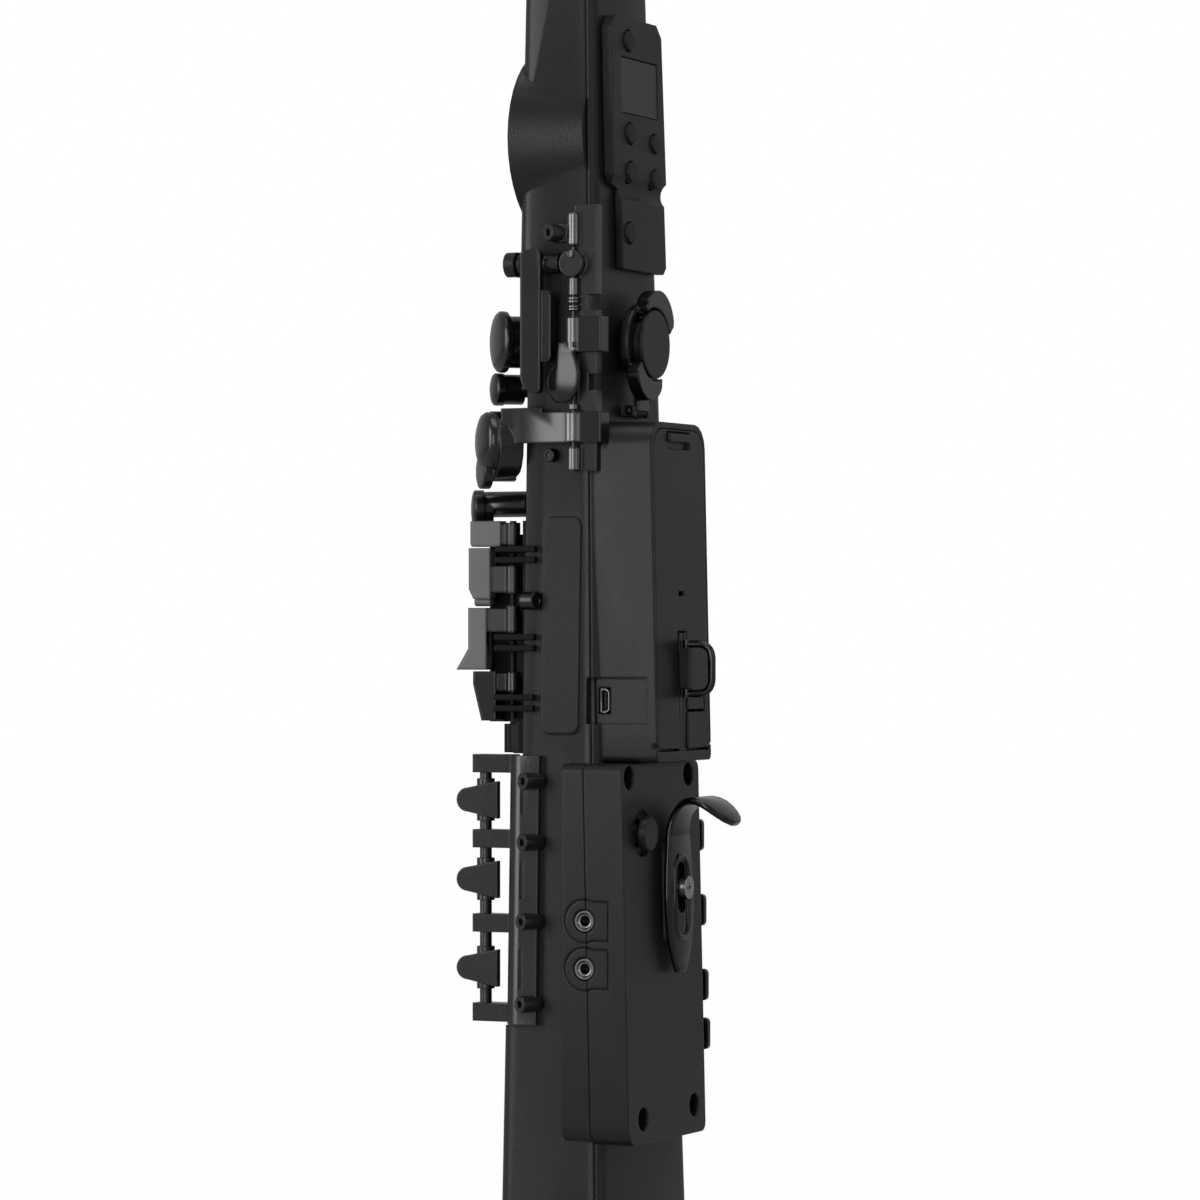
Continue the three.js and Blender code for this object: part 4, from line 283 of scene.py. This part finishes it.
# which CAD node gets which finish
nodeFinish = {
    "front": ["front_shell"],
    "shell": ["rear_shell", "bell", "neck", "battery_cover", "strap_plate", "thumb_rest", "analog_controller"],
    # the shade finish paints shade: near black where shadow falls behind the keys
    "shade": ["lh_stack_rail", "table_bracket"],
    "bracket": ["palm_key_rail", "rh_key_bracket", "side_key_rail", "right_lever_f", "right_lever_e",
                "right_lever_d"],
    "panel": ["control_panel"],
    "rubber": ["panel_button_%d" % number for number in range(1, 7)],
    "glass": ["display_window"],
    "gloss": ["mouthpiece", "octave_key", "thumb_hook", "palm_spoon_key", "palm_paddle_key", "left_middle_key",
              "left_index_key", "left_bis_key", "left_ring_key", "table_b_flat_key", "side_key_1", "side_key_2",
              "side_key_3", "side_key_4", "low_e_flat_key", "low_c_key"],
    "touchShortPaintedReflection": ["table_g_sharp_key"],
    "touchMiddlePaintedReflection": ["table_c_sharp_key"],
    "touchLongPaintedReflection": ["table_b_key"],
    "bright": ["ligature", "usb_port", "thumb_screw"],
    "dark": ["palm_key_rod", "speaker", "speaker_grille", "strap_ring", "phones_jack", "aux_jack",
             "battery_cell_1", "battery_cell_2", "battery_cell_3", "battery_cell_4"],
    "cane": ["reed"],
    "board": ["main_board"],
}
edgeRound = {"front_shell": 0.5, "rear_shell": 0.5, "control_panel": 0.5, "battery_cover": 0.35,
             "rh_key_bracket": 0.3, "palm_key_rail": 0.3, "table_bracket": 0.25, "thumb_hook": 0.4,
             "table_g_sharp_key": 0.6, "table_c_sharp_key": 0.6, "table_b_key": 0.6, "table_b_flat_key": 0.6}
softening = {"weld": 0.00002, "flat": 0.6, "crease": 38, "segments": 2, "usual": 0.18}


def smoothByAngle(limit):
    group = bpy.data.node_groups.new("smoothByAngle", "GeometryNodeTree")
    for way in ("INPUT", "OUTPUT"):
        group.interface.new_socket("Geometry", in_out=way, socket_type="NodeSocketGeometry")
    work = Nodes(group)
    angle = work.node("GeometryNodeInputMeshEdgeAngle", {}, {}, "Unsigned Angle")
    gentle = work.node("FunctionNodeCompare", {"operation": "LESS_EQUAL"}, {0: angle, 1: math.radians(limit)})
    shape = work.node("NodeGroupInput", {}, {})
    shape = work.node("GeometryNodeSetShadeSmooth", {"domain": "FACE"}, {"Geometry": shape})
    shape = work.node("GeometryNodeSetShadeSmooth", {"domain": "EDGE"}, {"Geometry": shape, "Shade Smooth": gentle})
    group.links.new(shape.socket, group.nodes.new("NodeGroupOutput").inputs[0])
    return group


smoothing = smoothByAngle(softening["crease"])


def soften(piece, width, values=softening):
    weld = piece.modifiers.new("weld", "WELD")
    weld.merge_threshold = values["weld"]
    flat = piece.modifiers.new("flat", "DECIMATE")
    flat.decimate_type = "DISSOLVE"
    flat.angle_limit = math.radians(values["flat"])
    piece.modifiers.new("smooth", "NODES").node_group = smoothing
    bevel = piece.modifiers.new("round", "BEVEL")
    bevel.width = width * mm
    bevel.segments = values["segments"]
    bevel.limit_method = "ANGLE"
    bevel.angle_limit = math.radians(values["crease"])
    bevel.use_clamp_overlap = True
    bevel.harden_normals = True


def dress(name, finishName):
    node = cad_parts[name]
    node.data.materials.clear()
    node.data.materials.append(finishes[finishName])
    soften(node, edgeRound.get(name, softening["usual"]))


for finishName, names in nodeFinish.items():
    for name in names:
        dress(name, finishName)
print("nodes dressed:", sum(len(names) for names in nodeFinish.values()))


# how the fine pieces are made: rings of points, joined into one closed skin
def skinPiece(name, rings, finishName, body, replaced=(), looped=False, cutter=None):
    shape = bmesh.new()
    grid = [[shape.verts.new(point) for point in ring] for ring in rings]
    count = len(grid[0])
    for level in range(len(grid) if looped else len(grid) - 1):
        here, there = grid[level], grid[(level + 1) % len(grid)]
        for side in range(count):
            beside = (side + 1) % count
            shape.faces.new((here[side], here[beside], there[beside], there[side]))
    if not looped:
        shape.faces.new(grid[0][::-1])
        shape.faces.new(grid[-1])
    piece = placed(name, closedMesh(name, shape))
    if cutter:
        carve(piece, cutter)
    piece.data.materials.append(finishes[finishName])
    for polygon in piece.data.polygons:
        polygon.use_smooth = True
    piece.data.set_sharp_from_angle(angle=math.radians(softening["crease"]))
    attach(piece, body)
    if replaced:
        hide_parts(*replaced)
    return piece


def closedMesh(name, shape):
    bmesh.ops.recalc_face_normals(shape, faces=shape.faces)
    mesh = bpy.data.meshes.new(name)
    shape.to_mesh(mesh)
    shape.free()
    return mesh


def carve(piece, rings):
    shape = bmesh.new()
    near, far = ([shape.verts.new(point) for point in ring] for ring in rings)
    for side in range(len(near)):
        beside = (side + 1) % len(near)
        shape.faces.new((near[side], near[beside], far[beside], far[side]))
    shape.faces.new(near[::-1])
    shape.faces.new(far)
    cutter = placed("cutter", closedMesh("cutter", shape))
    cut = piece.modifiers.new("slot", "BOOLEAN")
    cut.operation = "DIFFERENCE"
    cut.solver = "EXACT"
    cut.object = cutter
    bpy.context.view_layer.update()
    solid = piece.evaluated_get(bpy.context.evaluated_depsgraph_get())
    made = bpy.data.meshes.new_from_object(solid)
    piece.modifiers.clear()
    piece.data = made
    bpy.data.objects.remove(cutter)


def circle(sides):
    return [2 * math.pi * side / sides for side in range(sides)]


def turned(centre, axis, profile, sides=40):
    along = Vector(axis).normalized()
    across = along.orthogonal().normalized()
    beside = along.cross(across)
    return [[at(*centre) + along * (step * mm)
             + (across * math.cos(angle) + beside * math.sin(angle)) * (radius * mm) for angle in circle(sides)]
            for radius, step in profile]


def oblong(half, high, steps=10):
    points = []
    for sign in (1, -1):
        for step in range(steps + 1):
            angle = math.pi * step / steps
            points.append((sign * half * math.cos(angle), sign * ((high - half) + half * math.sin(angle))))
    return points


# the thumb hook: a plate with an oblong slot, its top bent over into a broad tongue
hookPlate = {"bottom": 172.0, "top": 217.0, "stand": 13.1, "thick": 2.2, "half": 10.4, "slot": (3.2, 8.5, 200.0),
             "slotReach": 4, "noseSteps": 6, "archBack": 0.5,
             "arch": ((1.6, 2.0), (3.0, 7.0), (6.2, 10.6), (10.2, 12.0), (14.8, 10.6), (19.2, 7.4), (22.6, 4.4)),
             "plateWidths": (0.30, 0.58, 0.78, 0.90, 0.96, 1.0, 1.0, 0.97, 0.92, 0.86, 0.80),
             "tongueWidths": (0.76, 0.72, 0.70, 0.72, 0.80, 0.90, 0.98, 1.0, 0.99, 0.94, 0.82, 0.62, 0.30)}


def splinePoint(points, share):
    place = share * (len(points) - 1)
    start = min(int(place), len(points) - 2)
    t = place - start
    p = [Vector(points[min(max(start + shift, 0), len(points) - 1)]) for shift in (-1, 0, 1, 2)]
    return 0.5 * (2 * p[1] + (p[2] - p[0]) * t + (2 * p[0] - 5 * p[1] + 4 * p[2] - p[3]) * t * t
                  + (3 * p[1] - p[0] - 3 * p[2] + p[3]) * t ** 3)


def hookLine(values):
    line = []
    spots = len(values["plateWidths"])
    for spot, width in enumerate(values["plateWidths"]):
        z = values["bottom"] + (values["top"] - values["bottom"]) * spot / (spots - 1)
        line.append((backAt(z) + values["stand"] + values["thick"] / 2, z, width))
    base = backAt(values["top"]) + values["stand"] - values["archBack"]
    spots = len(values["tongueWidths"])
    for spot, width in enumerate(values["tongueWidths"]):
        bend = splinePoint(values["arch"], spot / (spots - 1))
        line.append((base + bend[0], values["top"] + bend[1], width))
    return line


def hookRings(values):
    line = hookLine(values)
    steps, nose = values["noseSteps"], values["thick"] / 2
    rings = []
    for number, (y, z, width) in enumerate(line):
        before, after = line[max(number - 1, 0)], line[min(number + 1, len(line) - 1)]
        way = Vector((after[0] - before[0], after[1] - before[1])).normalized()
        normal = Vector((way[1], -way[0]))
        half = width * values["half"]
        outline = []
        for sign in (1, -1):
            for step in range(steps + 1):
                angle = math.pi * (step / steps) - math.pi / 2
                outline.append((sign * (half - nose + nose * math.cos(angle)), sign * nose * math.sin(angle)))
        rings.append([at(x, y + normal[0] * side, z + normal[1] * side) for x, side in outline])
    return rings


def hookSlot(values):
    half, high, z = values["slot"]
    middle = backAt(z) + values["stand"] + values["thick"] / 2
    return [[at(x, middle + depth, z + up) for x, up in oblong(half, high)]
            for depth in (-values["slotReach"], values["slotReach"])]


skinPiece("thumbHookPlate", hookRings(hookPlate), "hook", "thumb_hook_body", ("thumb_hook",),
          cutter=hookSlot(hookPlate))

# the raised rim round the hook's slot
slotRim = {"half": 5.2, "high": 13.6, "z": 197.0, "wire": 1.0, "flat": 0.8, "rise": -0.1, "steps": 14, "sides": 12}


def rimRings(values):
    path = oblong(values["half"], values["high"], values["steps"])
    wire, z = values["wire"], values["z"]
    rings = []
    for number, (x, up) in enumerate(path):
        before, after = path[number - 1], path[(number + 1) % len(path)]
        way = Vector((after[0] - before[0], after[1] - before[1])).normalized()
        out = Vector((way[1], -way[0]))
        face = backAt(z + up) + hookPlate["stand"] + hookPlate["thick"] + values["rise"]
        rings.append([at(x + out[0] * wire * math.cos(angle), face + wire * values["flat"] * math.sin(angle),
                         z + up + out[1] * wire * math.cos(angle)) for angle in circle(values["sides"])])
    return rings


skinPiece("hookSlotRim", rimRings(slotRim), "hook", "thumb_hook_body", looped=True)

# sleeves, plated collars and the skins of the tubes on the palm rod
palmRod = {"x": 30.471, "y": 8.3, "sleeve": 1.7, "sleeves": ((394.4, 400.0), (357.0, 358.8)), "sleeveEdge": 0.2,
           "collars": ((389.2, 391.2), (391.7, 393.9)), "collar": 1.95, "collarEdge": (0.35, 0.3),
           "groove": 0.25, "grooveSpan": (0.4, 0.5, 0.6), "skinEdge": 0.3,
           "skins": {"capSkin": (410.9, 421.1, 2.0, "wind_controller"),
                     "footSkin": (337.3, 344.5, 2.0, "wind_controller"),
                     "spoonTubeSkin": (376.1, 387.0, 2.58, "palm_spoon_key_body"),
                     "domeTubeSkin": (346.5, 355.9, 3.18, "left_middle_key_body")}}


def onPalmRod(low, profile):
    return turned((palmRod["x"], palmRod["y"], low), (0, 0, 1), profile)


def tubeProfile(radius, tall, edge):
    return (radius - edge, 0), (radius, edge), (radius, tall - edge), (radius - edge, tall)


def collarProfile(radius, tall, values):
    inward, up = values["collarEdge"]
    start, deepest, end = (share * tall for share in values["grooveSpan"])
    return ((radius - inward, 0), (radius, up), (radius, start), (radius - values["groove"], deepest),
            (radius, end), (radius, tall - up), (radius - inward, tall))


for number, (low, high) in enumerate(palmRod["sleeves"], 1):
    profile = tubeProfile(palmRod["sleeve"], high - low, palmRod["sleeveEdge"])
    skinPiece("rodSleeve%d" % number, onPalmRod(low, profile), "tube", "wind_controller")
for number, (low, high) in enumerate(palmRod["collars"], 1):
    profile = collarProfile(palmRod["collar"], high - low, palmRod)
    skinPiece("rodCollar%d" % number, onPalmRod(low, profile), "tube", "wind_controller")

# small screws and a nut, each with a socket in its head: centre, axis, radius and height
screws = {"lugScrew": ((32.9, 8.3, 407.6), (1, 0, 0), 1.2, 0.9, "tube", "bright_steel"),
          "railScrew": ((27.9, 0.0, 342.3), (1, -0.35, 0), 2.2, 2.6, "dark", "dark_steel"),
          "flankNut": ((30.6, -9.4, 294.6), (0.25, 1, 0), 3.0, 5.4, "dark", "dark_steel")}
screwEdge = {"foot": (0.3, 0.25), "head": 0.35, "socket": (0.55, 0.48, 0.12), "deep": (0.5, 0.55)}


def screwHead(radius, high, values):
    inward, up = values["foot"]
    mouth, floor, tip = (share * radius for share in values["socket"])
    floorDeep, tipDeep = values["deep"]
    return ((radius - inward, 0), (radius, up), (radius, high - values["head"]), (radius - values["head"], high),
            (mouth, high), (floor, high - floorDeep), (tip, high - tipDeep))


for name, (centre, axis, radius, high, finishName, slot) in screws.items():
    head = turned(centre, axis, screwHead(radius, high, screwEdge))
    skinPiece(name, head, finishName, "wind_controller")

for name, (low, high, radius, body) in palmRod["skins"].items():
    profile = tubeProfile(radius, high - low, palmRod["skinEdge"])
    skinPiece(name, onPalmRod(low, profile), "tube", body)
print("hook, rod pieces and screws made")

# jack mouths: a plated rim round a dark bore
jackMouth = {"x": 37.0, "y": 15.1, "places": (("phonesMouth", "phones_jack", 190.3), ("auxMouth", "aux_jack", 174.7)),
             "profile": ((3.6, -12), (3.6, -0.3), (3.3, 0), (2.8, 0), (2.3, -0.7), (1.8, -0.8), (1.7, -10.8))}
for name, node, z in jackMouth["places"]:
    rings = turned((jackMouth["x"], jackMouth["y"], z), (1, 0, 0), jackMouth["profile"])
    skinPiece(name, rings, "tube", "wind_controller", (node,))

# the port: a thin shell with two cut corners, round a tongue; each step is an inset and a depth
usbMouth = {"x": 25.6, "y": 17.2, "z": 261.8, "halfWide": 1.65, "halfHigh": 4.0,
            "outline": ((-1.35, -4.0), (0.3, -4.0), (1.4, -3.3), (1.65, -2.7), (1.65, 2.7), (1.4, 3.3), (0.3, 4.0),
                        (-1.35, 4.0), (-1.65, 3.7), (-1.65, -3.7)),
            "steps": ((0, 6.0), (0, 0.1), (0.1, 0), (0.35, 0), (0.45, 0.15), (0.45, 5.4)),
            "tongue": ((-0.5, -2.7), (-0.1, -2.9), (0.3, -2.7), (0.3, 2.7), (-0.1, 2.9), (-0.5, 2.7)),
            "tongueSteps": ((0.1, 5.8), (0, 5.6), (0, 1.2), (0.15, 0.9))}


def usbRings(values, outline, steps):
    return [[at(values["x"] - back, values["y"] + y * (1 - inset / values["halfWide"]),
                values["z"] + z * (1 - inset / values["halfHigh"])) for y, z in outline] for inset, back in steps]


skinPiece("usbMouth", usbRings(usbMouth, usbMouth["outline"], usbMouth["steps"]), "bright", "wind_controller",
          ("usb_port",))
skinPiece("usbTongue", usbRings(usbMouth, usbMouth["tongue"], usbMouth["tongueSteps"]), "dark", "wind_controller")

# a dull skin on the open part of the octave key's ring
ringSkin = {"z": 379.5, "inner": 11.6, "outer": 13.8, "foot": 17.4, "top": 20.1, "edge": 0.5,
            "from": -24.0, "to": 55.0, "steps": 20}


def ringSkinRings(values):
    inner, outer, foot, top, edge = (values[key] for key in ("inner", "outer", "foot", "top", "edge"))
    section = ((inner, foot), (outer, foot), (outer, top - edge), (outer - edge, top), (inner, top))
    rings = []
    for step in range(values["steps"] + 1):
        angle = math.radians(values["from"] + (values["to"] - values["from"]) * step / values["steps"])
        rings.append([at(radius * math.cos(angle), y, values["z"] + radius * math.sin(angle))
                      for radius, y in section])
    return rings


skinPiece("ringSkin", ringSkinRings(ringSkin), "shell", "octave_key_body")

# the side keys, with the corners of their free ends rounded
sideTab = {"count": 4, "endY": 26.2, "near": 0.1, "across": 1.0, "corner": 1.6, "steps": 4}


def roundedTab(name, node, body, values):
    shape = bmesh.new()
    shape.from_mesh(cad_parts[node].data)
    bmesh.ops.remove_doubles(shape, verts=shape.verts, dist=softening["weld"])
    bmesh.ops.dissolve_limit(shape, angle_limit=math.radians(softening["flat"]), verts=shape.verts,
                             edges=shape.edges)
    end = at(0, values["endY"] - values["near"], 0).y
    corners = [edge for edge in shape.edges if all(vertex.co.y > end for vertex in edge.verts)
               and abs(edge.verts[0].co.x - edge.verts[1].co.x) > values["across"] * mm]
    bmesh.ops.bevel(shape, geom=corners, offset=values["corner"] * mm, segments=values["steps"], profile=0.5,
                    affect="EDGES", clamp_overlap=False)
    mesh = bpy.data.meshes.new(name)
    shape.to_mesh(mesh)
    shape.free()
    mesh.materials.clear()
    mesh.materials.append(finishes["gloss"])
    piece = placed(name, mesh)
    soften(piece, softening["usual"])
    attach(piece, body)
    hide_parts(node)
    return len(corners)


for number in range(1, sideTab["count"] + 1):
    node = "side_key_%d" % number
    print(node, "corners rounded:", roundedTab("sideTab%d" % number, node, node + "_body", sideTab))
print("fine pieces made")

# the stage: a pale floor that the camera sees as white, and even room light
stageLook = {"floorTone": (0.5, 0.5, 0.5), "floorRough": 0.9, "floorGlow": 0.985, "floorReach": 9,
             "floorDrop": 0.0005, "world": 0.42, "glossShare": 0.0}


def stageFloor(values):
    reach, z = values["floorReach"], -pivot["z"] * mm - values["floorDrop"]
    mesh = bpy.data.meshes.new("floor")
    mesh.from_pydata([(-reach, -reach, z), (reach, -reach, z), (reach, reach, z), (-reach, reach, z)], [],
                     [(0, 1, 2, 3)])
    mesh.materials.append(paperFinish(values))
    placed("floor", mesh)


def paperFinish(values):
    finish = Finish("palePaper")
    finish.give(Base_Color=values["floorTone"], Roughness=values["floorRough"])
    base = Wire(finish.tree, finish.shader.outputs[0])
    glow = finish.node("ShaderNodeEmission", {}, {"Color": (1, 1, 1, 1), "Strength": 1.0})
    seen = finish.ray("Is Camera Ray") * values["floorGlow"]
    both = finish.node("ShaderNodeMixShader", {}, {0: seen, 1: base, 2: glow})
    finish.tree.links.new(both.socket, finish.tree.nodes["Material Output"].inputs["Surface"])
    return finish.material


def roomLight(values):
    world = bpy.data.worlds.new("room")
    bpy.context.scene.world = world
    world.use_nodes = True
    room = Nodes(world.node_tree)
    room.tree.nodes.clear()
    seen = room.ray("Is Camera Ray") + room.ray("Is Transmission Ray")
    seen = seen + room.ray("Is Glossy Ray") * values["glossShare"]
    strength = values["world"] + seen * (1.0 - values["world"])
    background = room.node("ShaderNodeBackground", {}, {"Color": (1, 1, 1, 1), "Strength": strength})
    room.tree.links.new(background.socket, room.tree.nodes.new("ShaderNodeOutputWorld").inputs[0])


stageFloor(stageLook)
roomLight(stageLook)

# soft lamps, all aimed at the middle of the body: place, size and watts
lamps = {"frontLamp": ((1.6, -1.65, 0.55), (0.8, 1.6), 24), "sideLamp": ((2.6, 0.25, 0.2), (0.7, 1.9), 27),
         "rearLamp": ((0.6, 2.4, 0.6), (0.8, 1.8), 5), "topLamp": ((0.4, 0.2, 2.3), (1.4, 1.4), 18)}


def softLamp(name, where, size, power, aim):
    lamp = bpy.data.lights.new(name, "AREA")
    lamp.shape = "RECTANGLE"
    lamp.size, lamp.size_y = size
    lamp.energy = power
    holder = placed(name, lamp)
    holder.location = where
    holder.rotation_euler = (aim - Vector(where)).to_track_quat("-Z", "Y").to_euler()


for name, (where, size, power) in lamps.items():
    softLamp(name, where, size, power, at(0, 0, 285))

# the camera: level, from the player's left and a little behind; focal length and frame in pixels
view = {"focal": 4800.0, "frame": 1200.0, "distance": 1600.0, "bearing": 25.0, "z": 285.3, "centreX": 590.0,
        "horizonY": 629.0, "sensor": 36.0, "nearest": 0.05}


def standCamera(values):
    camera = placed("camera", bpy.data.cameras.new("camera"))
    lens, frameSize = camera.data, values["frame"]
    lens.sensor_width = values["sensor"]
    lens.sensor_fit = "AUTO"
    lens.lens = values["sensor"] * values["focal"] / frameSize
    lens.shift_x = (frameSize / 2 - values["centreX"]) / frameSize
    lens.shift_y = (values["horizonY"] - frameSize / 2) / frameSize
    lens.clip_start = values["nearest"]
    bearing = math.radians(values["bearing"])
    outward = Vector((math.cos(bearing), math.sin(bearing), 0))
    camera.location = at(*(outward * values["distance"])[:2], values["z"])
    camera.rotation_euler = outward.to_track_quat("Z", "Y").to_euler()
    bpy.context.scene.camera = camera


standCamera(view)
bpy.context.scene.view_settings.view_transform = "Standard"
print("stage, lamps and camera ready")

bpy.context.view_layer.update()
